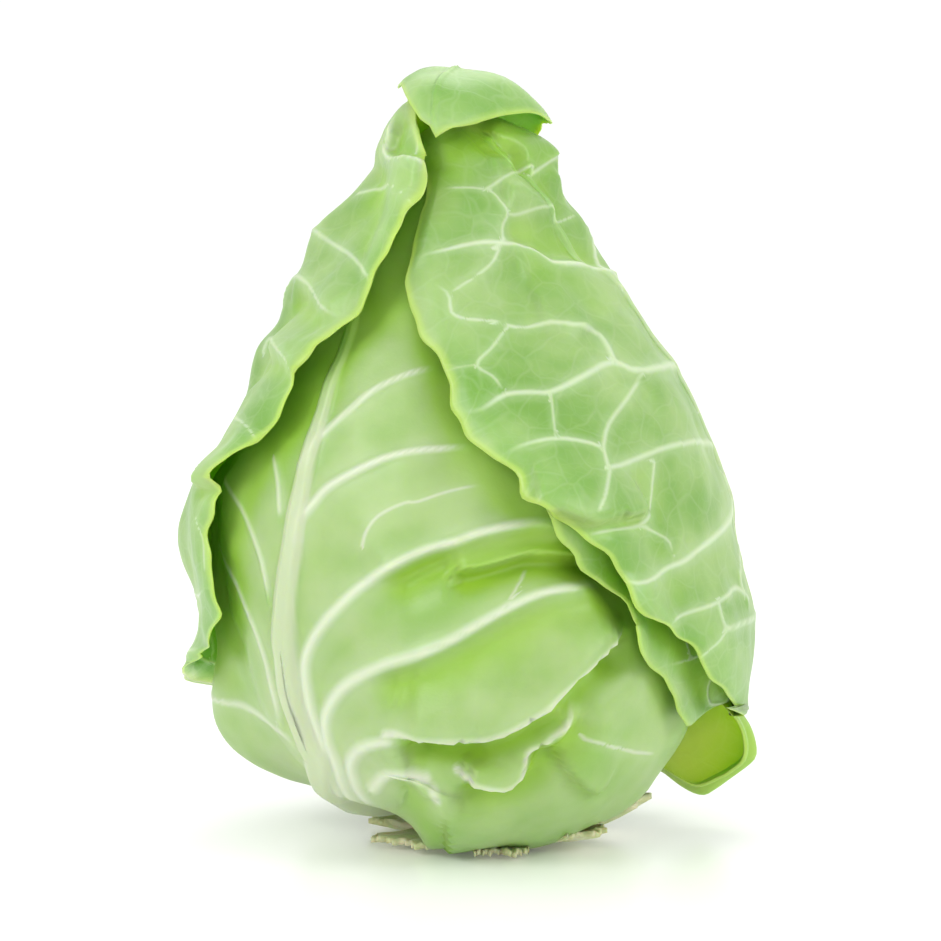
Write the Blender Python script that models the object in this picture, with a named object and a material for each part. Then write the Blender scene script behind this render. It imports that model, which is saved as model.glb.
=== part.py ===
"""Pointed cabbage standing on its cut stem.

Every leaf is a thin slab that is bent round the head. A place on the head is
given by an angle (0 faces the front, 90 the right) and by a reach, the share
of the way from the tip (0) down to the middle of the base (1). Leaves are
laid one after another, and each is draped over all that lie under it.
"""

import math

import bmesh
import bpy
import numpy as np

MM = 0.001

# Packed heart: height, reach to the left and to the right of the stem, and to front and back, in mm.
HEART_PROFILE = (
    (203.0, 8.0, -8.0, 0.0),
    (201.1, 12.0, -4.0, 4.0),
    (194.4, 16.0, -1.0, 8.5),
    (185.8, 20.0, 3.0, 13.0),
    (176.3, 29.0, 8.0, 20.0),
    (157.2, 44.0, 18.0, 31.0),
    (138.1, 54.0, 32.0, 44.0),
    (119.1, 64.0, 44.0, 55.0),
    (100.0, 73.0, 51.0, 62.0),
    (80.0, 75.0, 54.0, 65.0),
    (62.0, 73.0, 57.0, 65.0),
    (46.0, 69.0, 56.0, 62.0),
    (33.0, 60.0, 53.0, 55.0),
    (25.0, 48.0, 43.0, 45.0),
    (20.5, 35.0, 35.0, 35.0),
    (19.0, 24.0, 26.0, 25.0),
    (18.5, 15.0, 15.0, 15.0),
    (18.5, 0.0, 0.0, 0.0),
)

# How much the underside rises to the right, and falls to the left.
UNDERSIDE_RISE = 7.0
UNDERSIDE_FALL = 6.0

STUMP_RADIUS = 18.0
STUMP_TOP = 18.0
ROOT_GAP = 0.5
LAYER_GAP = 0.6
BLADE = 0.9
FACET = 12.5

# Above 1, the grid's columns crowd toward the midrib.
EDGE_CROWDING = 1.3

# How far a leaf spans over a step below it, and how much further its facets need.
DRAPE_SPAN = 8.0
DRAPE_SPARE = 5.0

# The view in which margins and veins were measured: distance, height looked at, height that
# the ground shows at, and how much nearer things show lower.
VIEW_DISTANCE = 1100.0
VIEW_MIDDLE = 115.0
VIEW_BASE = 6.9
VIEW_SLOPE = 0.105

TURNS = 360
RINGS = 180


def catmull(points, t):
    """Smooth curve through the points, with t from 0 at the first to 1 at the last."""
    points = np.asarray(points, float)
    t = np.clip(np.asarray(t, float), 0, 1) * (len(points) - 1)
    start = np.minimum(t.astype(int), len(points) - 2)
    f = (t - start)[..., None]
    padded = np.vstack([2 * points[0] - points[1], points, 2 * points[-1] - points[-2]])
    a, b, c, d = (padded[start + k] for k in range(4))
    return 0.5 * (
        2 * b + (c - a) * f + (2 * a - 5 * b + 4 * c - d) * f**2 + (3 * b - a - 3 * c + d) * f**3
    )


def smooth(low, high, x):
    t = np.clip((x - low) / (high - low), 0, 1)
    return t * t * (3 - 2 * t)


def heart_tables():
    fine = catmull(HEART_PROFILE, np.linspace(0, 1, 600))
    middle, half = (fine[:, 2] - fine[:, 1]) / 2, (fine[:, 1] + fine[:, 2]) / 2
    fine = np.stack([fine[:, 0], middle, np.maximum(half, 0), np.maximum(fine[:, 3], 0)], axis=1)
    width = fine[:, 2:].mean(axis=1)
    step = np.hypot(np.diff(width), np.diff(fine[:, 0]))
    reach = np.concatenate([[0], np.cumsum(step)])
    return reach / reach[-1], fine, width, reach[-1]


REACH, PROFILE, WIDTH, LENGTH = heart_tables()
SLOPE_WIDTH = np.gradient(WIDTH, REACH)
SLOPE_HEIGHT = np.gradient(PROFILE[:, 0], REACH)


def head_point(angle, reach, lift):
    """Points in mm, lifted off the heart's surface. Angles are in degrees."""
    a = np.radians(angle)
    z, middle, half, deep = (np.interp(reach, REACH, PROFILE[:, k]) for k in range(4))
    out = -np.interp(reach, REACH, SLOPE_HEIGHT) * np.clip(reach / 0.04, 0, 1)
    up = np.interp(reach, REACH, SLOPE_WIDTH)
    size = np.hypot(out, up)
    out, up = out / size, up / size
    x = middle + np.sin(a) * (half + lift * out)
    y = -np.cos(a) * (deep + lift * out)
    under = smooth(18, 40, half) * smooth(60, 28, z) * (reach > 0.5)
    z = z + under * np.sin(a) * np.where(np.sin(a) > 0, UNDERSIDE_RISE, UNDERSIDE_FALL)
    return np.stack([x, y, z + lift * up], axis=-1)


def reach_at(height):
    """The reach where the heart has this height, above its flat underside."""
    return float(np.interp(-height, -PROFILE[:, 0], REACH))


def at(angle, height):
    return angle, reach_at(height)


def front(x, height, lift=7.0):
    """A place by where it shows from the front, slightly above, on a layer with this lift."""
    angle, reach = 0.0, 0.5
    for _ in range(60):
        px, py, pz = (float(n) for n in head_point(angle, reach, lift))
        near = VIEW_DISTANCE / (VIEW_DISTANCE + py)
        seen = VIEW_BASE + VIEW_MIDDLE + (pz - VIEW_MIDDLE) * near + py * VIEW_SLOPE
        half = np.interp(reach, REACH, PROFILE[:, 2]) + lift
        turn = (x - px * near) / (half * max(0.3, math.cos(math.radians(angle))))
        angle = max(-88, min(88, angle + 0.7 * math.degrees(turn)))
        reach = max(0.0, min(0.95, reach - 0.7 * (height - seen) / LENGTH))
    return angle, reach


def root(angle):
    """A place beside the stump."""
    below = REACH > 0.8
    return angle, float(np.interp(-(STUMP_RADIUS + ROOT_GAP), -WIDTH[below], REACH[below]))


INNER_LEAVES = {
    "inner_leaf_left": {
        "mid": [root(-95), at(-98, 30), at(-98, 80), at(-92, 128.6), at(-80, 176.3), at(-45, 199.4)],
        "left": [root(-130), at(-160, 32), at(-185, 90), at(-180, 138.1), at(-150, 185.8), at(-85, 199.4)],
        "right": [root(-60), at(-35, 32), at(-20, 90), at(-15, 138.1), at(-20, 185.8), at(-10, 199.9)],
    },
    "inner_leaf_right": {
        "mid": [root(25), at(25, 30), at(26, 80), at(30, 128.6), at(40, 176.3), at(30, 198.7)],
        "left": [root(-10), at(-40, 32), at(-62, 90), at(-60, 138.1), at(-45, 185.8), at(-5, 199.9)],
        "right": [root(60), at(85, 32), at(112, 90), at(110, 138.1), at(110, 185.8), at(75, 199.9)],
    },
    "inner_leaf_back": {
        "mid": [root(148), at(150, 30), at(150, 80), at(152, 128.6), at(155, 176.3), at(150, 199.4)],
        "left": [root(112), at(90, 32), at(70, 90), at(72, 138.1), at(85, 185.8), at(130, 200.5)],
        "right": [root(185), at(210, 32), at(232, 90), at(230, 138.1), at(220, 185.8), at(170, 200.5)],
    },
}

FRONT_LEAF = {
    "mid": [
        root(-62), at(-60, 21), at(-54, 26), front(-46, 28), front(-48, 33), front(-50, 39),
        front(-54, 55), front(-57, 86), front(-54, 113), front(-44, 144), front(-25, 182),
    ],
    "right_middle": [
        root(-50), front(-24, 14), front(-20, 25), front(-10, 26), front(5, 36), front(13, 75),
        front(16, 97), front(-2, 119), front(-10, 144), front(-14, 168), at(-14, 194.4),
    ],
    "right": [
        root(-38), at(-26, 21), at(-2, 22), at(36, 25), at(82, 64), at(85, 88),
        at(85, 105.7), at(70, 134.3), at(50, 157.2), at(28, 181.1), at(-5, 196.3),
    ],
    "left_middle": [
        root(-78), at(-80, 21), at(-82, 25), at(-84, 33), front(-68, 43), front(-73, 82),
        front(-70, 104), front(-63, 124), at(-62, 142.9), at(-54, 164.9), at(-26, 193.5),
    ],
    "left": [
        root(-92), at(-102, 22), at(-110, 27), at(-116, 42), at(-119, 72), at(-117, 100),
        at(-110, 121), at(-102, 140.1), at(-92, 157.2), at(-72, 178.2), at(-32, 195.4),
    ],
}

LOBED_LEAF = {
    "mid": [root(108), at(106, 25), at(104, 40), at(104, 62), at(100, 90), at(90, 123.8), at(70, 157.2)],
    "left": [root(94), at(80, 25), at(66, 31), at(56, 44), at(48, 75), at(42, 114.3), at(48, 152.5)],
    "right": [root(120), at(132, 30), at(142, 50), at(146, 80), at(140, 109.5), at(120, 138.1), at(88, 162)],
}

UNDER_LEAF = {
    "mid": [
        root(132), at(130, 25), at(126, 40), at(120, 62), at(114, 88),
        at(106, 117.2), at(92, 147.7), at(62, 176.3), at(24, 193.5),
    ],
    "left": [
        root(120), at(108, 28), at(90, 40), front(59.7, 36.3, 16), front(43, 66, 16),
        at(20, 98), at(5, 133.4), at(-2, 168.7), at(0, 191.6),
    ],
    "right": [
        root(144), at(155, 26), at(170, 48), at(180, 78), at(184, 109.5),
        at(180, 138.1), at(165, 164.9), at(125, 185.8), at(50, 195.4),
    ],
}

RIGHT_LEAF = {
    "mid": [
        root(104), at(106, 23), at(104, 32), at(99, 44), at(94, 60), at(92, 76),
        at(90, 94), at(87, 115.3), at(82, 138.1), at(72, 162), at(52, 183.9), at(10, 199.2),
    ],
    "left": [
        root(94), at(98, 25), at(94, 36), front(68.4, 43, 20), front(45, 67, 18), front(33, 83, 16),
        front(17, 98, 14), front(-3.2, 120, 13), front(-16.2, 147, 13), front(-23.5, 165, 13),
        front(-16.8, 190, 13), at(-50, 198.2),
    ],
    "right": [
        root(114), at(112, 25), at(120, 38), at(134, 54), at(148, 74), at(158, 94),
        at(164, 113.4), at(166, 134.3), at(160, 155.3), at(145, 174.4), at(110, 189.6), at(50, 199.2),
    ],
}

LEFT_LEAF = {
    "mid": [
        root(-124), at(-126, 21), at(-128, 30), at(-130, 45), at(-131, 68), at(-130, 92),
        at(-125, 117.2), at(-116, 142.9), at(-106, 164.9), at(-98, 183.9), at(-95, 198.2),
    ],
    "right": [
        root(-110), at(-108, 25), at(-102, 42), front(-84, 58, 15), front(-76.3, 71, 14), front(-79, 94, 14),
        front(-66, 117, 14), front(-46, 145, 17), front(-25, 172, 19), front(-15.5, 193, 18), at(-55, 199.2),
    ],
    "left": [
        root(-138), at(-150, 25), at(-166, 40), at(-180, 62), at(-188, 88), at(-190, 111.4),
        at(-186, 136.2), at(-174, 159.1), at(-158, 176.3), at(-145, 191.6), at(-130, 199.2),
    ],
}

CAP_LEAF = {
    "mid": [
        root(186), at(186, 21.7), at(187, 30), at(188, 46), at(188, 70), at(187, 96),
        at(186, 121), at(184, 145.8), at(181, 168.7), at(178, 188.2), at(172, 197.6), at(-20, 199.9), at(-25, 192.3),
    ],
    "left": [
        root(170), at(164, 24.2), at(152, 34), at(140, 50), at(128, 74), at(120, 101.9),
        at(116, 126.7), at(112, 151.5), at(108, 174.4), at(100, 189.9), at(84, 195.8), at(66, 197.6), at(50, 195.2),
    ],
    "right": [
        root(202), at(208, 24.2), at(220, 34), at(232, 50), at(244, 74), at(252, 101.9),
        at(256, 126.7), at(258, 151.5), at(260, 174.4), at(262, 191.7), at(266, 198.1), at(275, 200.5), at(282, 199.9),
    ],
}

# Rib height at the root and at the end, columns of facets, how far each edge stands off,
# waves along the edges (height, count), a lobe that hangs away (side, from, to, height), and
# folds (where along, start and end across, height).
SHAPES = {
    "inner_leaf_left": {"rib": (2.0, 0.5), "columns": 10},
    "inner_leaf_right": {"rib": (2.0, 0.5), "columns": 10},
    "inner_leaf_back": {"rib": (2.0, 0.5), "columns": 10},
    "front_leaf": {
        "rib": (5.0, 0.8),
        "columns": 20,
        "stand": (0.0, 0.5),
        "lobe": (1, 0.0, 0.36, 8.5),
        "folds": [(0.4, 0.05, 1.0, 4.0), (0.2, 0.1, 1.0, 3.0), (0.6, 0.0, 1.0, 1.0), (0.1, 0.3, 1.0, 1.5)],
    },
    "lobed_leaf": {"rib": (2.5, 0.6), "columns": 12, "lobe": (-1, 0.04, 0.45, 13.0), "waves": (0.8, 3)},
    "under_leaf": {"rib": (2.5, 0.6), "columns": 14, "stand": (1.5, 0.0), "waves": (1.0, 3)},
    "right_leaf": {"rib": (3.5, 0.8), "columns": 18, "stand": (2.5, 1.0), "waves": (1.5, 5)},
    "left_leaf": {"rib": (3.5, 0.8), "columns": 18, "stand": (1.0, 5.0), "waves": (1.5, 6)},
    "cap_leaf": {"rib": (3.5, 0.8), "columns": 18, "stand": (1.0, 1.0), "waves": (1.0, 6)},
}


def flat(places):
    """The places as points on a disc whose middle is the tip."""
    angle, reach = np.radians(places[..., 0]), places[..., 1]
    return np.stack([reach * np.sin(angle), -reach * np.cos(angle)], axis=-1)


def across(leaf, u, v, curve):
    """Goes from the midrib to an edge, through the middle curve of that side when the leaf has one."""
    mid = curve(leaf["mid"], u)
    rows = np.empty(mid.shape)
    for name, chosen in (("left", v < 0), ("right", v >= 0)):
        edge = curve(leaf[name], u)
        middle = curve(leaf[name + "_middle"], u) if name + "_middle" in leaf else (mid + edge) / 2
        w = np.abs(v)[..., None]
        rows = np.where(
            chosen[..., None],
            mid * (1 - 3 * w + 2 * w**2) + middle * 4 * (w - w**2) + edge * (2 * w**2 - w),
            rows,
        )
    return rows


def leaf_places(leaf, u, v):
    """Angle and reach where u runs from the root (0) to the end (1) and v from the left edge (-1) to the right."""
    round_head = flat(across(leaf, u, v, catmull))
    over_tip = across(leaf, u, v, lambda points, t: catmull(flat(np.array(points)), t))
    nearest = np.min([np.abs(catmull(leaf[k], u)[..., 1]) for k in ("mid", "left", "right")], axis=0)
    share = smooth(0.10, 0.22, nearest)[..., None]
    p, q = np.moveaxis(round_head * share + over_tip * (1 - share), -1, 0)
    return np.degrees(np.arctan2(p, -q)), np.hypot(p, q)


def row_places(leaf):
    """Where the grid's rows lie along the leaf: one at each control point, and more where those are far apart."""
    ends = []
    for name in ("left", "mid", "right"):
        angle, reach = np.moveaxis(np.array(leaf[name], float), -1, 0)
        ends.append(head_point(angle, reach, 5.0))
    steps = np.linalg.norm(np.diff(np.array(ends), axis=1), axis=-1).max(axis=0)
    count = len(steps)
    rows = [0.0]
    for k, step in enumerate(steps):
        parts = max(1, round(float(step) / FACET))
        rows += [(k + (part + 1) / parts) / count for part in range(parts)]
    return np.array(rows)


def facet_slack(leaf, columns):
    """How far the flat facets of this leaf cut inside the round of the head, for each ring."""
    reach_rings = (np.arange(RINGS) + 0.5) / RINGS
    rows = np.linspace(0, 1, 40)[:, None] + np.zeros((1, 2))
    angle, reach = leaf_places(leaf, rows, np.array([[-1.0, 1.0]]) + 0 * rows)
    middle = leaf_places(leaf, rows, 0 * rows)
    reaches = head_point(angle, reach, 5.0) - head_point(*middle, 5.0)
    widest = np.linalg.norm(reaches, axis=-1).max() / (columns / 2) * EDGE_CROWDING
    return widest**2 / (8 * WIDTH.max()) * np.clip(np.interp(reach_rings, REACH, WIDTH) / WIDTH.max(), 0.35, 1)


def past_tip(field, rings):
    """Adds rings before the tip, which continue on its far side, and repeats the last ring."""
    far_side = np.roll(field[:, :rings][:, ::-1], TURNS // 2, axis=0)
    return np.concatenate([far_side, field, np.repeat(field[:, -1:], rings, axis=1)], axis=1)


def along_rings(field, span, pick):
    """Takes the maximum or mean of each place's neighbours on its ring, within the span in mm."""
    picked = np.empty(field.shape)
    for ring in range(RINGS):
        radius = np.interp((ring + 0.5) / RINGS, REACH, WIDTH) + 2
        near_stump = min(1, radius / 45) if ring > RINGS / 2 else 1
        half = min(TURNS // 2 - 1, int(round(span * near_stump / radius * TURNS / (2 * math.pi))))
        near = (np.arange(TURNS)[:, None] + np.arange(-half, half + 1)) % TURNS
        picked[:, ring] = pick(field[near, ring], axis=1)
    return picked


def along_rays(field, span, pick):
    """Takes the maximum or mean of each place's neighbours toward the tip and the base."""
    half = int(round(span / LENGTH * RINGS))
    longer = past_tip(field, half)
    return pick([longer[:, k : k + RINGS] for k in range(2 * half + 1)], axis=0)


def drape(field):
    """A gentle surface that is nowhere under the field."""
    reach = DRAPE_SPAN + DRAPE_SPARE
    raised = along_rings(along_rays(field, reach, np.max), reach, np.max)
    return along_rays(along_rings(raised, DRAPE_SPAN, np.mean), DRAPE_SPAN, np.mean)


def sample(field, angle, reach):
    a = np.mod(angle, 360) * TURNS / 360
    r = np.clip(reach * RINGS - 0.5, 0, RINGS - 1)
    a0, r0 = np.floor(a).astype(int), np.minimum(np.floor(r).astype(int), RINGS - 2)
    fa, fr = a - a0, r - r0
    a0, a1 = a0 % TURNS, (a0 + 1) % TURNS
    return (
        field[a0, r0] * (1 - fa) * (1 - fr) + field[a1, r0] * fa * (1 - fr)
        + field[a0, r0 + 1] * (1 - fa) * fr + field[a1, r0 + 1] * fa * fr
    )


def make_material(name, colour, roughness):
    material = bpy.data.materials.new(name)
    material.use_nodes = True
    surface = material.node_tree.nodes["Principled BSDF"]
    surface.inputs["Base Color"].default_value = (*colour, 1)
    surface.inputs["Roughness"].default_value = roughness
    surface.inputs["Metallic"].default_value = 0
    return material


def add_object(name, body, material):
    bmesh.ops.recalc_face_normals(body, faces=body.faces[:])
    if body.calc_volume(signed=True) < 0:
        bmesh.ops.reverse_faces(body, faces=body.faces[:])
    mesh = bpy.data.meshes.new(name)
    body.to_mesh(mesh)
    body.free()
    mesh.materials.append(material)
    mesh.shade_smooth()
    cabbage.objects.link(bpy.data.objects.new(name, mesh))


def closed_sheet(rows, columns):
    """A slab over the square from -1 to 1, with its lower face at height 0 and its upper face at 1."""
    sheet = bmesh.new()
    bmesh.ops.create_grid(sheet, x_segments=columns, y_segments=rows, size=1.0)
    copied = bmesh.ops.extrude_face_region(sheet, geom=sheet.faces[:], use_keep_orig=True)["geom"]
    upper = [part for part in copied if isinstance(part, bmesh.types.BMVert)]
    bmesh.ops.translate(sheet, verts=upper, vec=(0, 0, 1))
    return sheet


def stand_off(shape, u, v, step):
    """How far the blade bulges away from what is under it, and how much thicker its ribs are."""
    left, right = shape.get("stand", (0, 0))
    height, count = shape.get("waves", (0, 1))
    edge = np.abs(v)
    free = smooth(0.03, 0.12, u) * smooth(0.0, 0.12, 1 - u)
    lift = np.where(v < 0, left, right) * smooth(0.45, 1, edge) * free
    lift = lift + height * smooth(0.4, 1, edge) * free * (0.5 + 0.5 * np.sin(2 * math.pi * count * u + 2 * v))
    side, start, end, height = shape.get("lobe", (1, 0, 1, 0))
    lift = lift + height * smooth(0.25, 1, side * v) * smooth(start, start + 0.1, u) * smooth(end, end - 0.14, u)
    for middle, start, end, size in shape.get("folds", []):
        crest = np.clip(1 - np.abs(u - middle) / (0.5 * step), 0, 1)
        above = np.where(u > middle, np.clip(1 - np.abs(u - middle) / step, 0, 1), crest)
        lift = lift + size * above * smooth(start, start + 0.2, v) * (1 - smooth(end, end + 0.1, v))
    return lift


def ribs(shape, u, v, step):
    root_height, end_height = shape["rib"]
    midrib = (root_height + (end_height - root_height) * u**0.6) * np.clip(1 - np.abs(v) / 0.12, 0, 1)
    midrib = midrib * smooth(-0.04, 0.12, u)
    off_row = np.abs(u / step - np.round(u / step))
    side_rib = 0.8 * (off_row < 0.05) * smooth(1.02, 0.4, np.abs(v)) * smooth(0, 0.1, u)
    return np.maximum(midrib, side_rib)


def lay_leaf(name, leaf, shape, field):
    """Makes the leaf as a closed slab over the field, and returns the field with this leaf on it."""
    row_u, columns = row_places(leaf), shape["columns"]
    rows, step = len(row_u) - 1, 1 / (len(leaf["mid"]) - 1)
    draped = drape(field) + LAYER_GAP + facet_slack(leaf, columns)
    sheet = closed_sheet(rows, columns)
    flat_points = np.array([vert.co for vert in sheet.verts])

    def on_leaf(x, y):
        u = np.interp((y + 1) / 2 * rows, np.arange(rows + 1), row_u)
        return u, np.sign(x) * np.abs(x) ** EDGE_CROWDING

    def lifts(x, y):
        u, v = on_leaf(x, y)
        angle, reach = leaf_places(leaf, u, v)
        inner = sample(draped, angle, reach) + stand_off(shape, u, v, step)
        return angle, reach, inner, inner + BLADE + ribs(shape, u, v, step)

    angle, reach, inner, outer = lifts(flat_points[:, 0], flat_points[:, 1])
    points = head_point(angle, reach, np.where(flat_points[:, 2] > 0.5, outer, inner))
    for vert, point in zip(sheet.verts, points):
        vert.co = point * MM
    add_object(name, sheet, materials[name])

    corner_x, corner_y = np.meshgrid(np.linspace(-1, 1, columns + 1), np.linspace(-1, 1, rows + 1))
    corner_lift = lifts(corner_x, corner_y)[3]
    fine_x, fine_y = np.linspace(-1, 1, columns * 12 + 1), np.linspace(-1, 1, rows * 12 + 1)
    wider = np.array([np.interp(fine_x, corner_x[0], line) for line in corner_lift])
    fine_lift = np.array([np.interp(fine_y, corner_y[:, 0], line) for line in wider.T]).T
    x, y = np.meshgrid(fine_x, fine_y)
    angle, reach = leaf_places(leaf, *on_leaf(x, y))
    covered = field.copy()
    turn = np.floor(np.mod(angle, 360) * TURNS / 360).astype(int) % TURNS
    ring = np.clip((reach * RINGS).astype(int), 0, RINGS - 1)
    np.maximum.at(covered, (turn, ring), fine_lift)
    return covered


def make_heart():
    """The packed inner leaves and their core, as one body with a flat underside."""
    body = bmesh.new()
    bmesh.ops.create_uvsphere(body, u_segments=32, v_segments=22, radius=1.0)
    for vert in body.verts:
        x, y, z = vert.co
        angle = math.degrees(math.atan2(x, -y))
        vert.co = head_point(angle, math.acos(max(-1, min(1, z))) / math.pi, -0.3) * MM
    add_object("heart", body, materials["heart"])


def make_stump():
    """The cut stem, which is what the cabbage stands on."""
    body = bmesh.new()
    bmesh.ops.create_cone(
        body, cap_ends=True, segments=40, radius1=STUMP_RADIUS, radius2=STUMP_RADIUS, depth=STUMP_TOP
    )
    for vert in body.verts:
        angle = math.atan2(vert.co.y, vert.co.x)
        inset = 1 - 0.03 - 0.03 * math.sin(3 * angle + 1)
        vert.co.x *= inset
        vert.co.y *= inset
        vert.co.z += STUMP_TOP / 2
    rim = [edge for edge in body.edges if all(vert.co.z < 0.1 for vert in edge.verts)]
    bmesh.ops.bevel(body, geom=rim, offset=0.8, segments=2, affect="EDGES")
    bmesh.ops.scale(body, verts=body.verts[:], vec=(MM, MM, MM))
    add_object("stump", body, materials["stump"])


# Colour and roughness of each kind of piece.
LOOKS = {
    "stump": ((0.72, 0.76, 0.50), 0.6),
    "trimmed_bases": ((0.66, 0.74, 0.38), 0.5),
    "heart": ((0.60, 0.74, 0.36), 0.45),
    "inner_leaf_left": ((0.50, 0.68, 0.24), 0.45),
    "inner_leaf_right": ((0.50, 0.68, 0.24), 0.45),
    "inner_leaf_back": ((0.50, 0.68, 0.24), 0.45),
    "front_leaf": ((0.42, 0.63, 0.25), 0.42),
    "lobed_leaf": ((0.31, 0.56, 0.12), 0.42),
    "under_leaf": ((0.37, 0.60, 0.18), 0.42),
    "right_leaf": ((0.45, 0.65, 0.28), 0.42),
    "left_leaf": ((0.40, 0.62, 0.22), 0.42),
    "cap_leaf": ((0.38, 0.60, 0.18), 0.42),
}

# Trimmed leaf bases round the stump: middle angle, half width in degrees, outer radius, height of the outer edge.
STUBS = (
    (-27, 19, 33.0, 2.5),
    (9, 12, 32.0, 1.0),
    (40, 15, 35.0, 4.0),
    (88, 26, 30.0, 2.0),
    (150, 28, 31.0, 1.5),
    (-152, 26, 30.0, 1.5),
    (-88, 26, 31.0, 2.0),
)


def make_stub(name, middle, half, radius, rise):
    sheet = closed_sheet(4, 8)
    for vert in sheet.verts:
        x, y, side = vert.co
        out = (y + 1) / 2
        ragged = 1.6 * math.sin(5.3 * x + middle) + 1.1 * math.sin(11 * x + 2 * middle)
        reach = STUMP_RADIUS + 0.6 + (radius - STUMP_RADIUS + ragged) * out
        angle = math.radians(middle + half * x * (1 - 0.35 * out * abs(x)))
        low = 0.3 + rise * out**2 + 0.6 * x * x
        height = low if side < 0.5 else low + 2.4 - 1.0 * out
        vert.co = (reach * math.sin(angle) * MM, -reach * math.cos(angle) * MM, height * MM)
    add_object(name, sheet, materials["trimmed_bases"])


for old in list(bpy.data.objects):
    bpy.data.objects.remove(old)

cabbage = bpy.data.collections.new("pointed_cabbage")
bpy.context.scene.collection.children.link(cabbage)
materials = {name: make_material(name, *look) for name, look in LOOKS.items()}

make_stump()
make_heart()
for number, (middle, half, radius, rise) in enumerate(STUBS, start=1):
    make_stub(f"trimmed_base_{number}", middle, half, radius, rise)

LEAVES = dict(
    INNER_LEAVES,
    front_leaf=FRONT_LEAF,
    lobed_leaf=LOBED_LEAF,
    under_leaf=UNDER_LEAF,
    right_leaf=RIGHT_LEAF,
    left_leaf=LEFT_LEAF,
    cap_leaf=CAP_LEAF,
)
field = np.zeros((TURNS, RINGS))
for name, leaf in LEAVES.items():
    field = lay_leaf(name, leaf, SHAPES[name], field)
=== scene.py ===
import math

import bmesh
import bpy
import numpy as np
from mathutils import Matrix, Vector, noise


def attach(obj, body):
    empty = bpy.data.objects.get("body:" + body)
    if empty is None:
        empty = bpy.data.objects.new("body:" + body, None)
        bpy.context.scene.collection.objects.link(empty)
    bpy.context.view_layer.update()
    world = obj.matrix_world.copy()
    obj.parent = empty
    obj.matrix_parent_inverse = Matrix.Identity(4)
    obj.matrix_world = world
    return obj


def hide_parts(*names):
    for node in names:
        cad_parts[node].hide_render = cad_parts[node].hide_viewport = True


# A pointed cabbage on its cut stem. Each leaf is a thin slab bent round the head. A place on the head
# is an angle (0 faces the front, 90 the right) and a reach, the share of the way from the tip (0) down
# to the middle of the base (1). Lengths here are in mm until a mesh is made.

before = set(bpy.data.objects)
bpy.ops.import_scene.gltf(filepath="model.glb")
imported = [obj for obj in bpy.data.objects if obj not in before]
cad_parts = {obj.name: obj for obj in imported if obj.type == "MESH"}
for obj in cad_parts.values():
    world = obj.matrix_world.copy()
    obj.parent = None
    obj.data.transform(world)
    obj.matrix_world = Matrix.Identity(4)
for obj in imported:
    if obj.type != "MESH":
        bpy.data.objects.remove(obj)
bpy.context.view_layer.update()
mm = 0.001

head = {
    # height, reach to the left and to the right of the stem, and to front and back
    "profile": (
        (203.0, 8.0, -8.0, 0.0),
        (201.1, 12.0, -4.0, 4.0),
        (194.4, 16.0, -1.0, 8.5),
        (185.8, 20.0, 3.0, 13.0),
        (176.3, 29.0, 8.0, 20.0),
        (157.2, 44.0, 18.0, 31.0),
        (138.1, 54.0, 32.0, 44.0),
        (119.1, 64.0, 44.0, 55.0),
        (100.0, 73.0, 51.0, 62.0),
        (80.0, 75.0, 54.0, 65.0),
        (62.0, 73.0, 57.0, 65.0),
        (46.0, 69.0, 56.0, 62.0),
        (33.0, 60.0, 53.0, 55.0),
        (25.0, 48.0, 43.0, 45.0),
        (20.5, 35.0, 35.0, 35.0),
        (19.0, 24.0, 26.0, 25.0),
        (18.5, 15.0, 15.0, 15.0),
        (18.5, 0.0, 0.0, 0.0),
    ),
    "rightUnderside": 7.0,  # how much the underside rises to the right
    "leftUnderside": 6.0,  # and falls to the left
    "stumpRadius": 18.0,
    "rootGap": 0.5,
    "turns": 720,  # the cells of the height field that leaves are laid on
    "rings": 360,
}

photoView = {
    "stemColumn": 486,  # pixels
    "groundRow": 858,
    "pixel": 0.29,  # mm
    "distance": 1100.0,
    "middle": 115.0,
    "base": 6.9,
    "slope": 0.105,
}

layers = {
    "gap": 1.5,  # between a leaf and what it lies on
    "span": 4.0,  # how far a leaf spans over a step below it
    "spare": 1.5,
    "floorSpan": 1.6,  # how far the floor under a leaf spans
    "floorGap": 0.35,
    "edgeCrowding": 1.12,
    "marginBlade": 0.45,  # the blade's thickness at its margin
    "bladeGain": 0.55,  # and what it gains inside
    "lowest": 0.3,  # no leaf comes nearer to the ground
    "mounds": 10.0,  # the lift at which a mound's place in the photograph is taken
    "shadeSpan": 9.0,  # how far round it a tucked place is judged for its painted shade
}


def smooth(low, high, x):
    t = np.clip((x - low) / (high - low), 0, 1)
    return t * t * (3 - 2 * t)


def bell(x):
    return np.exp(-(x**2))


def tapered(ends, along):
    # from the first value to the second along a rib
    return ends[0] + (ends[1] - ends[0]) * along**0.7


def catmull(points, t):
    points = np.asarray(points, float)
    t = np.clip(np.asarray(t, float), 0, 1) * (len(points) - 1)
    start = np.minimum(t.astype(int), len(points) - 2)
    f = (t - start)[..., None]
    padded = np.vstack([2 * points[0] - points[1], points, 2 * points[-1] - points[-2]])
    a, b, c, d = (padded[start + k] for k in range(4))
    return 0.5 * (
        2 * b + (c - a) * f + (2 * a - 5 * b + 4 * c - d) * f**2 + (3 * b - a - 3 * c + d) * f**3
    )


def profileTables():
    fine = catmull(head["profile"], np.linspace(0, 1, 600))
    middle, half = (fine[:, 2] - fine[:, 1]) / 2, (fine[:, 1] + fine[:, 2]) / 2
    fine = np.stack([fine[:, 0], middle, np.maximum(half, 0), np.maximum(fine[:, 3], 0)], axis=1)
    width = fine[:, 2:].mean(axis=1)
    step = np.hypot(np.diff(width), np.diff(fine[:, 0]))
    reach = np.concatenate([[0], np.cumsum(step)])
    return reach / reach[-1], fine, width, reach[-1]


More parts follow.
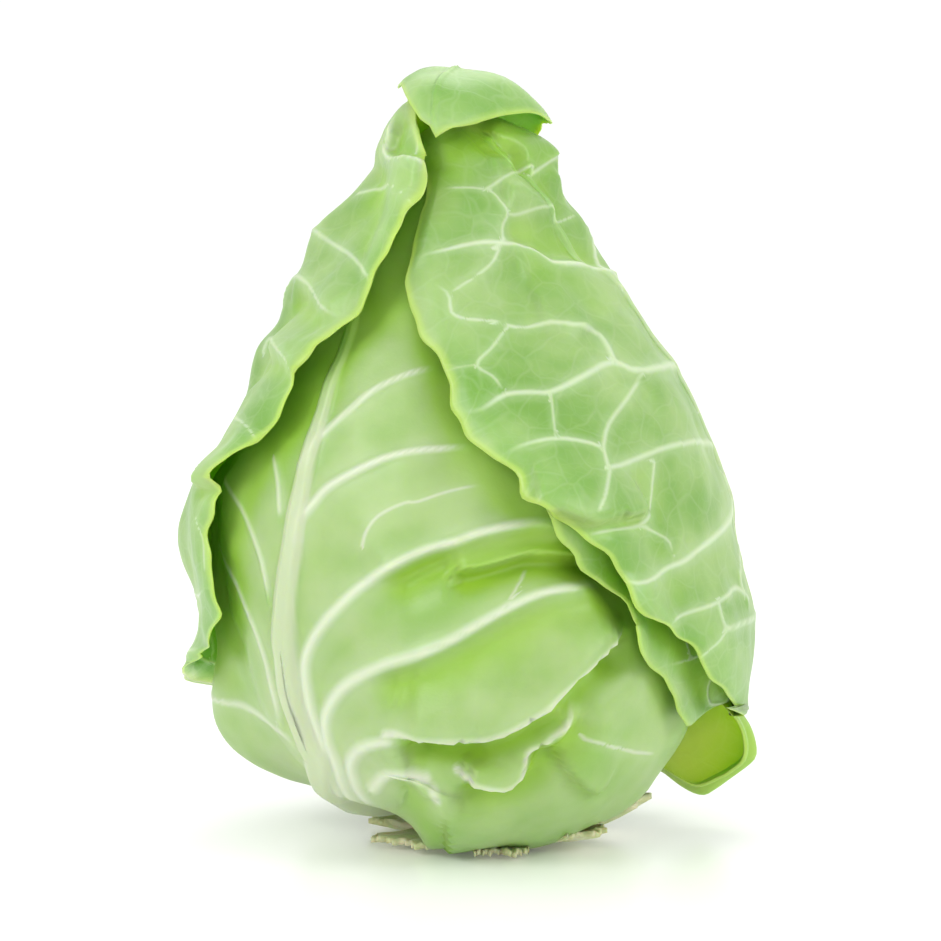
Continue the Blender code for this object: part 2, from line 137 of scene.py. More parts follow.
reachTable, profileTable, widthTable, profileLength = profileTables()
slopeWidth = np.gradient(widthTable, reachTable)
slopeHeight = np.gradient(profileTable[:, 0], reachTable)


def headPoint(angle, reach, lift):
    a = np.radians(angle)
    z, middle, half, deep = (np.interp(reach, reachTable, profileTable[:, k]) for k in range(4))
    out = -np.interp(reach, reachTable, slopeHeight) * np.clip(reach / 0.04, 0, 1)
    up = np.interp(reach, reachTable, slopeWidth)
    size = np.hypot(out, up)
    out, up = out / size, up / size
    x = middle + np.sin(a) * (half + lift * out)
    y = -np.cos(a) * (deep + lift * out)
    under = smooth(18, 40, half) * smooth(60, 28, z) * (reach > 0.5)
    tilt = np.where(np.sin(a) > 0, head["rightUnderside"], head["leftUnderside"])
    return np.stack([x, y, z + under * np.sin(a) * tilt + lift * up], axis=-1)


def reachAt(height):
    return float(np.interp(-height, -profileTable[:, 0], reachTable))


def at(angle, height):
    return angle, reachAt(height)


def front(x, height, lift=7.0):
    # places by where they show in the photograph's view, on a layer with this lift
    x, height = np.broadcast_arrays(np.asarray(x, float), np.asarray(height, float))
    angle, reach = np.zeros(x.shape), np.full(x.shape, 0.5)
    for _ in range(60):
        px, py, pz = np.moveaxis(headPoint(angle, reach, lift), -1, 0)
        near = photoView["distance"] / (photoView["distance"] + py)
        seen = photoView["base"] + photoView["middle"] + (pz - photoView["middle"]) * near
        seen = seen + py * photoView["slope"]
        half = np.interp(reach, reachTable, profileTable[:, 2]) + lift
        turn = (x - px * near) / (half * np.maximum(0.3, np.cos(np.radians(angle))))
        angle = np.clip(angle + 0.7 * np.degrees(turn), -88, 88)
        reach = np.clip(reach - 0.7 * (height - seen) / profileLength, 0, 0.95)
    return angle, reach


def fromPhoto(pixels, lift=9.0):
    columns, rows = np.moveaxis(np.array(pixels, float), -1, 0)
    x = (columns - photoView["stemColumn"]) * photoView["pixel"]
    return np.stack(front(x, (photoView["groundRow"] - rows) * photoView["pixel"], lift), axis=-1)


def root(angle):
    below = reachTable > 0.8
    radius = head["stumpRadius"] + head["rootGap"]
    return angle, float(np.interp(-radius, -widthTable[below], reachTable[below]))


def onDisc(places):
    angle, reach = np.radians(places[..., 0]), places[..., 1]
    return np.stack([reach * np.sin(angle), -reach * np.cos(angle)], axis=-1)


def across(leaf, u, v, curve):
    mid = curve(leaf["mid"], u)
    rows = np.empty(mid.shape)
    for name, chosen in (("left", v < 0), ("right", v >= 0)):
        edge = curve(leaf[name], u)
        middle = curve(leaf[name + "Middle"], u) if name + "Middle" in leaf else (mid + edge) / 2
        w = np.abs(v)[..., None]
        bent = mid * (1 - 3 * w + 2 * w**2) + middle * 4 * (w - w**2) + edge * (2 * w**2 - w)
        rows = np.where(chosen[..., None], bent, rows)
    return rows


def leafPlaces(leaf, u, v):
    # u runs from the root (0) to the end (1), v from the left edge (-1) over the midrib to the right (1)
    roundHead = onDisc(across(leaf, u, v, catmull))
    overTip = across(leaf, u, v, lambda points, t: catmull(onDisc(np.array(points)), t))
    nearest = np.min([np.abs(catmull(leaf[k], u)[..., 1]) for k in ("mid", "left", "right")], axis=0)
    share = smooth(0.10, 0.22, nearest)[..., None]
    p, q = np.moveaxis(roundHead * share + overTip * (1 - share), -1, 0)
    return np.degrees(np.arctan2(p, -q)), np.hypot(p, q)


# The height field of what has been laid so far.
turns, rings = head["turns"], head["rings"]


def alongRings(field, span, pick):
    picked = np.empty(field.shape)
    for ring in range(rings):
        radius = np.interp((ring + 0.5) / rings, reachTable, widthTable) + 2
        nearStump = min(1, radius / 45) if ring > rings / 2 else 1
        half = min(turns // 2 - 1, int(round(span * nearStump / radius * turns / (2 * math.pi))))
        near = (np.arange(turns)[:, None] + np.arange(-half, half + 1)) % turns
        picked[:, ring] = pick(field[near, ring], axis=1)
    return picked


def alongRays(field, span, pick):
    half = int(round(span / profileLength * rings))
    farSide = np.roll(field[:, :half][:, ::-1], turns // 2, axis=0)
    longer = np.concatenate([farSide, field, np.repeat(field[:, -1:], half, axis=1)], axis=1)
    return pick([longer[:, k : k + rings] for k in range(2 * half + 1)], axis=0)


def drape(field):
    reach = layers["span"] + layers["spare"]
    raised = alongRings(alongRays(field, reach, np.max), reach, np.max)
    return alongRays(alongRings(raised, layers["span"], np.mean), layers["span"], np.mean)


def sample(field, angle, reach):
    a = np.mod(angle, 360) * turns / 360
    r = np.clip(reach * rings - 0.5, 0, rings - 1)
    a0, r0 = np.floor(a).astype(int), np.minimum(np.floor(r).astype(int), rings - 2)
    fa, fr = a - a0, r - r0
    a0, a1 = a0 % turns, (a0 + 1) % turns
    low = field[a0, r0] * (1 - fa) + field[a1, r0] * fa
    high = field[a0, r0 + 1] * (1 - fa) + field[a1, r0 + 1] * fa
    return low * (1 - fr) + high * fr


def bumps(points, size, seed):
    # smooth noise from 0 to about 1 over points in mm
    shift = Vector((seed * 7.3, seed * 3.1, seed * 5.7))
    flatPoints = points.reshape(-1, 3)
    values = [noise.noise(Vector(p) / size + shift) for p in flatPoints]
    return np.clip(np.array(values).reshape(points.shape[:-1]) * 0.9 + 0.5, 0, 1)


def nearLine(points, normals, line, limit):
    # distance to the line, share of the way along it, and distance to its left (+) or right (-)
    low, high = line.min(axis=0) - limit - 4, line.max(axis=0) + limit + 4
    close = np.all((points > low) & (points < high), axis=-1)
    some, someNormals = points[close], normals[close]
    best = np.full(len(some), 1e6)
    along, side = np.zeros(len(some)), np.zeros(len(some))
    passed = np.concatenate([[0], np.cumsum(np.linalg.norm(np.diff(line, axis=0), axis=1))])
    for k in range(len(line) - 1):
        start, step = line[k], line[k + 1] - line[k]
        t = np.clip((some - start) @ step / max(step @ step, 1e-9), 0, 1)
        away = some - start - t[:, None] * step
        above = np.einsum("ij,ij->i", away, someNormals)
        away = away - above[:, None] * someNormals
        distance = np.linalg.norm(away, axis=-1) + np.maximum(np.abs(above) - 6, 0)
        nearer = distance < best
        best = np.where(nearer, distance, best)
        along = np.where(nearer, (passed[k] + t * (passed[k + 1] - passed[k])) / passed[-1], along)
        cross = np.einsum("ij,ij->i", np.cross(step, away), someNormals)
        side = np.where(nearer, np.sign(cross) * distance, side)
    out = []
    for values, empty in ((best, 1e6), (along, 0), (side, 1e6)):
        whole = np.full(points.shape[:-1], float(empty))
        whole[close] = values
        out.append(whole)
    return out


def splice(curve, start, end, pixels, lift):
    # the curve, with its stretch from start to end taken from a margin that the photograph shows
    u = np.linspace(0, 1, 151)
    places = catmull(curve, u)
    margin = fromPhoto(pixels, lift)
    steps = np.linalg.norm(np.diff(headPoint(*margin.T, lift), axis=0), axis=1)
    along = np.concatenate([[0], np.cumsum(steps)]) / steps.sum()
    inside = (u >= start) & (u <= end)
    t = np.interp((u[inside] - start) / (end - start), along, np.linspace(0, 1, len(along)))
    places[inside] = catmull(margin, t)
    return places


def between(first, second):
    # places half-way from one curve to another
    discs = (onDisc(np.array(first)) + onDisc(np.array(second))) / 2
    return [(math.degrees(math.atan2(p, -q)), math.hypot(p, q)) for p, q in discs]


def evenRows(leaf, rows):
    u = np.linspace(0, 1, 500)
    steps = []
    for name in ("left", "mid", "right"):
        steps.append(np.linalg.norm(np.diff(headPoint(*catmull(leaf[name], u).T, 8.0), axis=0), axis=1))
    along = np.concatenate([[0], np.cumsum(np.max(steps, axis=0))])
    return np.interp(np.linspace(0, along[-1], rows + 1), along, u)


def standOff(leaf, u, v):
    left, right = leaf.get("stand", (0, 0))
    height, count = leaf.get("waves", (0, 1))
    edge = np.abs(v)
    free = smooth(0.03, 0.12, u) * smooth(0.0, 0.12, 1 - u)
    lift = np.where(v < 0, left, right) * smooth(0.45, 1, edge) * free
    wave = 0.5 + 0.5 * np.sin(2 * math.pi * count * u + 2 * v)
    finer = 0.5 + 0.5 * np.sin(2 * math.pi * 2.7 * count * u + 1.3)
    lift = lift + height * smooth(0.4, 1, edge) * free * wave
    lift = lift + 0.5 * height * smooth(0.75, 1, edge) * free * finer
    side, start, end, height = leaf.get("lobe", (1, 0, 1, 0))
    lobe = smooth(0.25, 1, side * v) * smooth(start, start + 0.1, u) * smooth(end, end - 0.14, u)
    return lift + height * lobe


def pouch(leaf, u, v):
    # a bulge beside an edge, whose rim turns out again
    if "pouch" not in leaf:
        return np.zeros(u.shape)
    side, centre, width, start, end, height, rim = leaf["pouch"]
    free = smooth(start, start + 0.1, u) * smooth(end, end - 0.14, u)
    bulge = height * bell((side * v - centre) / width)
    return (bulge + rim * smooth(0.8, 1, side * v)) * free


def autoVeins(leaf, liftAt):
    # side ribs from the midrib to an edge, with branches that join each to the next
    lines = []
    for side, starts, rise, width, height in leaf.get("sideRibs", []):
        t = np.linspace(0, 1, 9)
        ribs = []
        for k, start in enumerate(starts):
            wiggle = 0.012 * np.sin(7 * t + 2.3 * k) * t
            u = np.clip(start + rise * t**0.85 + wiggle, 0, 0.995)
            ribs.append((u, side * t * 0.96))
        for k, (u, v) in enumerate(ribs):
            line = onLeaf(leaf, u, v, liftAt)
            lines.append((line, (width, width * 0.35), (height, height * 0.25), 1.0))
            if k + 1 == len(ribs):
                continue
            nextU, nextV = ribs[k + 1]
            for first, last in ((3, 2), (5, 5), (7, 6)):
                s = np.linspace(0, 1, 5)
                bend = 0.03 * np.sin(math.pi * s) * (1 if (k + first) % 2 else -1)
                branchU = u[first] + (nextU[last] - u[first]) * s
                branchV = v[first] + (nextV[last] - v[first]) * s + bend
                line = onLeaf(leaf, branchU, branchV, liftAt)
                lines.append((line, (width * 0.45, width * 0.35), (height * 0.35, height * 0.2), 0.7))
    return lines


def onLeaf(leaf, u, v, liftAt):
    angle, reach = leafPlaces(leaf, u, v)
    return thread(headPoint(angle, reach, liftAt(angle, reach)))


def thread(points):
    return catmull(points, np.linspace(0, 1, (len(points) - 1) * 3 + 1))


def photoLine(pixels, liftAt):
    lift = 9.0
    for _ in range(4):
        places = fromPhoto(pixels, lift)
        lift = liftAt(*places.T)
    return thread(headPoint(*places.T, lift))


def closedSheet(rows, columns):
    # a slab over the square from -1 to 1, with its lower face at height 0 and its upper face at 1
    sheet = bmesh.new()
    bmesh.ops.create_grid(sheet, x_segments=columns, y_segments=rows, size=1.0)
    copied = bmesh.ops.extrude_face_region(sheet, geom=sheet.faces[:], use_keep_orig=True)["geom"]
    upper = [part for part in copied if isinstance(part, bmesh.types.BMVert)]
    bmesh.ops.translate(sheet, verts=upper, vec=(0, 0, 1))
    bmesh.ops.recalc_face_normals(sheet, faces=sheet.faces[:])
    return sheet


def aboveFloor(points):
    return np.maximum(points, (-np.inf, -np.inf, layers["lowest"]))


def meshFrom(shape, name):
    mesh = bpy.data.meshes.new(name)
    shape.to_mesh(mesh)
    shape.free()
    return mesh


def addPiece(name, mesh):
    piece = bpy.data.objects.new(name, mesh)
    bpy.context.scene.collection.objects.link(piece)
    return piece


def bendSheet(name, inner, outer, masks):
    # a slab whose two faces follow these grids of points, with a mask from 0 to 1 for each attribute
    rows, columns = inner.shape[0] - 1, inner.shape[1] - 1
    sheet = closedSheet(rows, columns)
    flat = np.array([vert.co[:] for vert in sheet.verts])
    mesh = meshFrom(sheet, name)
    column = np.rint((flat[:, 0] + 1) / 2 * columns).astype(int)
    row = np.rint((flat[:, 1] + 1) / 2 * rows).astype(int)
    points = np.where(flat[:, 2:] > 0.5, outer[row, column], inner[row, column]) * mm
    mesh.vertices.foreach_set("co", points.astype(np.float32).ravel())
    for maskName, mask in masks.items():
        attribute = mesh.attributes.new(maskName, "FLOAT", "POINT")
        attribute.data.foreach_set("value", mask[row, column].astype(np.float32).ravel())
    mesh.update()
    mesh.shade_smooth()
    return addPiece(name, mesh)


def finishPiece(piece, node, material):
    piece.data.materials.append(material)
    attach(piece, "root")
    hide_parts(node)


def layLeaf(name, leaf, field):
    rows, columns = leaf["grid"]
    x = np.linspace(-1, 1, columns + 1)
    x = np.sign(x) * np.abs(x) ** layers["edgeCrowding"]
    u, v = np.meshgrid(evenRows(leaf, rows), x, indexing="ij")
    ragged = 0.010 * np.sin(61 * u + 3 * v) + 0.007 * np.sin(113 * u + 1) + 0.004 * np.sin(211 * u)
    ragged = ragged * smooth(0.08, 0.2, u) * leaf.get("ragged", 1.0)
    angle, reach = leafPlaces(leaf, u, v * (1 + ragged * smooth(0.6, 1, np.abs(v))))
    draped = drape(field)
    near = layers["floorSpan"]
    floor = sample(alongRings(alongRays(field, near, np.max), near, np.max), angle, reach)
    floor = floor + layers["floorGap"]
    bulge = pouch(leaf, u, v)
    base = sample(draped, angle, reach) + layers["gap"] + standOff(leaf, u, v) + bulge
    rest = headPoint(angle, reach, base)
    normals = headPoint(angle, reach, base + 1) - rest

    # swellings and folds, which move the whole blade
    size, amount = leaf.get("swell", (30.0, 1.2))
    free = smooth(0.02, 0.15, u)
    lift = base + amount * 2 * (bumps(rest, size, leaf["seed"]) - 0.45) * free
    lift = lift + amount * 0.8 * (bumps(rest, size * 0.35, leaf["seed"] + 9) - 0.5) * free

    def liftAt(a, r):
        # the lift of the leaf as it is so far, by the nearest of its own grid points
        near = headPoint(a, r, sample(draped, a, r) + layers["gap"])
        spread = rest[::3, ::3].reshape(-1, 3)
        closest = np.argmin(np.linalg.norm(near[:, None, :] - spread[None], axis=-1), axis=1)
        return lift[::3, ::3].ravel()[closest]

    raised = [(np.array([place]), *more) for place, *more in leaf.get("swellings", [])]
    raised += [(fromPhoto([pixels], layers["mounds"]), *more) for pixels, *more in leaf.get("mounds", [])]
    for places, height, radius in raised:
        centre = headPoint(*places.T, liftAt(*places.T))
        lift = lift + height * bell(np.linalg.norm(rest - centre, axis=-1) / radius)
    creaseShade = np.zeros(u.shape)
    crests = []
    for pixels, height, gentle, steep, valley, *rib in leaf.get("folds", []):
        line = photoLine(pixels, lambda a, r: liftAt(a, r) + height)
        if rib:
            crests.append((line, *rib, 1.0))
        distance, along, side = nearLine(headPoint(angle, reach, lift), normals, line, 3 * gentle)
        ends = smooth(0, 0.12, along) * smooth(1, 0.86, along) * (distance < 1e5)
        above = height * bell(distance / gentle)
        below = height * bell(distance / steep)
        sunk = (distance / steep) * bell(distance / (2.2 * steep)) * ends * (side < 0)
        lift = lift + np.where(side > 0, above, below) * ends - valley * sunk
        # painted shade: the hollow below each fold's crest is marked, to be coloured a deeper green where
        # shade falls
        creaseShade = np.maximum(creaseShade, sunk * min(1.0, valley / 4))
    inner = np.maximum(lift, floor)
    shaped = headPoint(angle, reach, inner)

    # the midrib and the veins, which thicken the blade
    midrib = onLeaf(leaf, np.linspace(0, 0.98, 30), np.zeros(30), liftAt)
    width, height = leaf["midrib"]
    midribDistance, along, _ = nearLine(shaped, normals, midrib, 6 * max(width))
    scaled = midribDistance / tapered(width, along)
    midribMask = smooth(1.1, 0.8, scaled) * smooth(0.92, 0.7, along)
    rise = tapered(height, along) * smooth(1.3, 0.3, scaled)
    veins = crests
    for pixels, width, height in leaf.get("veins", []):
        veins.append((photoLine(pixels, liftAt), width, height, min(1.0, 0.45 + 0.3 * width[0])))
    veins += autoVeins(leaf, liftAt)
    ribStrength = np.zeros(u.shape)
    ribDistance, ribSide = np.full(u.shape, 6.0), np.full(u.shape, 6.0)
    for line, width, height, strength in veins:
        distance, along, side = nearLine(shaped, normals, line, 6 * max(width))
        wide = tapered(width, along)
        scaled = distance / np.maximum(wide, 1.0)
        ridge = 0.75 * bell(scaled) + 0.25 * bell(scaled / 2.5)
        rise = np.maximum(rise, tapered(height, along) * ridge)
        drawn = np.maximum(wide, 0.5)
        scaled = distance / drawn
        strength = strength * smooth(1.0, 0.86, along) * np.sqrt(wide / drawn)
        nearer = scaled < ribDistance
        ribDistance = np.where(nearer, scaled, ribDistance)
        thin = min(width) < 0.9
        ribSide = np.where(nearer, scaled * np.where((side < 0) & thin, -1, 1), ribSide)
        ribStrength = np.where(nearer, strength, ribStrength)
    toEdge = (1 - np.abs(v)) * np.linalg.norm(rest[:, -1:] - rest[:, :1], axis=-1) * 0.6
    toEdge = np.minimum(toEdge, (1 - u) * 150)
    blade = layers["marginBlade"] + layers["bladeGain"] * smooth(0, 5, toEdge)
    rise = rise * smooth(-0.5, 2.0, toEdge)
    outer = inner + blade + rise

    pale = leaf.get("pale", (14.0, 0.6))
    paleness = bell(midribDistance / pale[0]) * smooth(pale[1], 0, u) + smooth(0.14, 0.02, u)
    masks = {
        "ribDistance": ribDistance,
        "ribSide": ribSide,
        "ribStrength": ribStrength,
        "midrib": midribMask,
        "pale": np.clip(paleness, 0, 1),
        "margin": smooth(2.2, 0.4, toEdge) * smooth(0.05, 0.12, u),
        "creaseShade": np.clip(creaseShade, 0, 1),
    }
    laid[name] = (angle, reach, inner, outer, masks)

    # rasterise the outer face on a copy of the field
    gridRow, gridColumn = np.arange(rows + 1), np.arange(columns + 1)
    fineRow = np.linspace(0, rows, rows * 3 + 1)
    fineColumn = np.linspace(0, columns, columns * 3 + 1)

    def finer(values):
        wide = np.array([np.interp(fineColumn, gridColumn, line) for line in values])
        return np.array([np.interp(fineRow, gridRow, line) for line in wide.T]).T

    p, q = np.moveaxis(onDisc(np.stack([angle, reach], axis=-1)), -1, 0)
    p, q, height = finer(p), finer(q), finer(outer - bulge)
    turn = np.floor(np.mod(np.degrees(np.arctan2(p, -q)), 360) * turns / 360).astype(int) % turns
    ring = np.clip((np.hypot(p, q) * rings).astype(int), 0, rings - 1)
    covered = field.copy()
    np.maximum.at(covered, (turn, ring), height)
    return covered


innerLeaf = {"grid": (90, 60), "swell": (30.0, 0.3), "midrib": ((4.0, 1.0), (2.0, 0.4))}
innerLeafLeft = innerLeaf | {
    "seed": 1,
    "mid": [root(-95), at(-98, 30), at(-98, 80), at(-92, 128.6), at(-80, 176.3), at(-45, 199.4)],
    "left": [root(-130), at(-160, 32), at(-185, 90), at(-180, 138.1), at(-150, 185.8), at(-85, 199.4)],
    "right": [root(-60), at(-35, 32), at(-20, 90), at(-15, 138.1), at(-20, 185.8), at(-10, 199.9)],
}
innerLeafRight = innerLeaf | {
    "seed": 2,
    "mid": [root(25), at(25, 30), at(26, 80), at(30, 128.6), at(40, 176.3), at(30, 198.7)],
    "left": [root(-10), at(-40, 32), at(-62, 90), at(-60, 138.1), at(-45, 185.8), at(-5, 199.9)],
    "right": [root(60), at(85, 32), at(112, 90), at(110, 138.1), at(110, 185.8), at(75, 199.9)],
}
innerLeafBack = innerLeaf | {
    "seed": 3,
    "mid": [root(148), at(150, 30), at(150, 80), at(152, 128.6), at(155, 176.3), at(150, 199.4)],
    "left": [root(112), at(90, 32), at(70, 90), at(72, 138.1), at(85, 185.8), at(130, 200.5)],
    "right": [root(185), at(210, 32), at(232, 90), at(230, 138.1), at(220, 185.8), at(170, 200.5)],
}

foldRib = (
    (356, 680), (384, 667), (415, 657), (450, 641), (480, 624), (514, 605), (551, 591), (599, 584),
)

# The front leaf, whose white midrib and side ribs show. Its lower right edge hangs in loose folds.
frontLeaf = {
    "mid": [
        root(-62), at(-60, 21), at(-55, 25), front(-47, 26), front(-50, 32), front(-54, 40),
        front(-57, 58), front(-57, 84), front(-53.5, 107), front(-44, 138), front(-25, 182),
    ],
    "rightMiddle": [
        root(-50), front(-24, 14), front(-20, 25), front(-10, 26), front(5, 36), front(13, 75),
        front(16, 97), front(-2, 119), front(-10, 144), front(-14, 168), at(-14, 194.4),
    ],
    "right": [
        root(-38), at(-24, 20), at(2, 19.6), at(42, 20.5), at(80, 25), at(86, 52),
        at(86, 96), at(72, 130), at(50, 157.2), at(28, 181.1), at(-5, 196.3),
    ],
    "leftMiddle": [
        root(-78), at(-80, 21), at(-82, 25), at(-84, 33), front(-68, 43), front(-73, 82),
        front(-70, 104), front(-63, 124), at(-62, 142.9), at(-54, 164.9), at(-26, 193.5),
    ],
    "left": [
        root(-92), at(-102, 22), at(-110, 27), at(-116, 42), at(-119, 72), at(-117, 100),
        at(-110, 121), at(-102, 140.1), at(-92, 157.2), at(-72, 178.2), at(-32, 195.4),
    ],
    "grid": (212, 226),
    "seed": 4,
    "stand": (0.0, 1.5),
    "swell": (34.0, 1.4),
    "lobe": (1, 0.0, 0.48, 12.0),
    "midrib": ((8.5, 1.5), (4.5, 0.8)),
    "pale": (20.0, 0.85),
    "ragged": 0.6,
    "veins": [
        # line in photo pixels, half width at its start and end, height at its start and end
        (((303, 467), (324, 436), (350, 413), (384, 387), (435, 369)), (1.5, 0.9), (0.9, 0.5)),
        (((300, 540), (303, 522), (315, 506), (331, 488), (373, 465), (406, 454), (469, 448)),
            (1.9, 0.9), (1.3, 0.6)),
        (((362, 547), (367, 531), (380, 516), (405, 504), (417, 503), (450, 492), (480, 486)),
            (0.7, 0.4), (0.3, 0.2)),
        (((340, 792), (327, 755), (316, 720), (309, 690), (307, 665), (315, 641), (333, 616), (364, 586),
            (395, 565), (425, 551), (454, 543), (480, 533), (527, 523), (560, 525)), (2.6, 1.1),
            (2.2, 0.8)),
        (((352, 796), (339, 770), (329, 742), (327, 718), (337, 697), *foldRib), (2.6, 1.1), (2, 0.8)),
        (((366, 800), (356, 785), (351, 765), (362, 750), (382, 744), (400, 743)), (2.6, 1.6), (1.4, 1)),
        (((373, 790), (389, 776), (418, 778), (436, 798), (459, 825)), (2, 0.9), (1, 0.5)),
        (((578, 737), (600, 745), (622, 750), (650, 750)), (0.7, 0.5), (0.4, 0.2)),
        (((500, 612), (512, 592), (524, 570)), (0.6, 0.4), (0.3, 0.2)),
        (((221, 546), (230, 570), (242, 595), (255, 628), (267, 661), (276, 697), (283, 728)),
            (0.8, 1.4), (0.4, 0.8)),
        (((211, 672), (225, 688), (245, 705), (281, 734), (300, 752)), (0.8, 1.5), (0.4, 0.8)),
        (((228, 478), (238, 500), (252, 528), (264, 565), (272, 605)), (0.6, 1), (0.3, 0.6)),
        (((276, 459), (280, 485), (283, 520)), (0.6, 0.9), (0.3, 0.5)),
    ],
    "folds": [
        # crest in photo pixels, height, how far it reaches above and below, depth of the hollow below it
        (((364, 586), (395, 565), (425, 551), (454, 543), (480, 535), (527, 527), (575, 530),
            (610, 535)), 3, 16, 3.2, 3.5),
        (((440, 570), (470, 568), (500, 560), (530, 553), (590, 556), (620, 560)), 3, 7, 2.4, 5),
        (foldRib, 2.2, 16, 4, 2),
        (((380, 745), (400, 743), (453, 746), (480, 744), (512, 731), (547, 710), (575, 685), (605, 654),
            (640, 622)), 6, 15, 3.8, 8, (1.6, 0.9), (0.8, 0.3)),
        (((372, 784), (389, 776), (410, 777), (428, 788), (444, 806), (459, 826)), 2.6, 12, 4, 1.5),
        (((455, 786), (482, 794), (506, 795), (521, 784), (529, 763), (541, 753), (559, 745), (573, 727),
            (579, 706)), 5, 11, 3.2, 5, (1.2, 0.9), (0.4, 0.2)),
        (((547, 753), (562, 760), (573, 778), (591, 794), (605, 800)), 2.6, 8, 1.4, 1.5),
    ],
    "mounds": [
        ((650, 720), -1.5, 12), ((615, 690), 3, 16), ((450, 700), 2.5, 18), ((520, 600), 3, 34),
        ((540, 710), 5.5, 32), ((420, 790), 3, 22),
    ],
    "swellings": [(at(-88, 41), 8.0, 16.0), (at(-66, 26), -1.5, 10.0)],
}

# A low leaf on the right, whose pouch hangs out under the others.
lobedLeaf = {
    "mid": [root(108), at(106, 25), at(104, 40), at(104, 62), at(100, 90), at(90, 123.8), at(70, 157.2)],
    "left": [root(98), at(92, 26), at(87, 36), at(78, 50), at(58, 78), at(44, 114.3), at(48, 152.5)],
    "right": [
        root(120), at(132, 30), at(142, 50), at(146, 80), at(140, 109.5), at(120, 138.1), at(88, 162),
    ],
    "grid": (190, 150),
    "seed": 5,
    "pouch": (-1, 0.6, 0.45, 0.105, 0.42, 26.0, 6.0),
    "swell": (26.0, 0.8),
    "waves": (0.6, 3),
    "midrib": ((2.4, 0.8), (2.0, 0.4)),
    "sideRibs": [
        (-1, (0.08, 0.20, 0.36, 0.55, 0.72), 0.12, 0.8, 0.7),
        (1, (0.12, 0.26, 0.42, 0.58, 0.74), 0.12, 0.8, 0.7),
    ],
}

underLeaf = {
    "mid": [
        root(132), at(130, 25), at(126, 40), at(120, 62), at(114, 88),
        at(106, 117.2), at(92, 147.7), at(62, 176.3), at(24, 193.5),
    ],
    "left": splice(
        [
            root(122), at(114, 30), at(100, 50), front(59.7, 36.3, 16), front(43, 66, 16),
            at(20, 98), at(5, 133.4), at(-2, 168.7), at(0, 191.6),
        ],
        0.375, 0.5,
        ((692, 733), (687, 715), (673, 696), (664, 682), (653, 670), (643, 664), (633, 653), (630, 643),
            (627, 624)),
        16.0,
    ),
    "right": [
        root(144), at(155, 26), at(170, 48), at(180, 78), at(184, 109.5),
        at(180, 138.1), at(165, 164.9), at(125, 185.8), at(50, 195.4),
    ],
    "grid": (150, 120),
    "seed": 6,
    "stand": (1.0, 0.0),
    "waves": (0.5, 3),
    "swell": (30.0, 0.6),
    "midrib": ((2.6, 0.8), (2.0, 0.5)),
    "sideRibs": [
        (-1, (0.14, 0.24, 0.36, 0.50, 0.66), 0.10, 0.9, 0.8),
        (1, (0.12, 0.24, 0.38, 0.54, 0.70), 0.10, 0.9, 0.8),
    ],
}

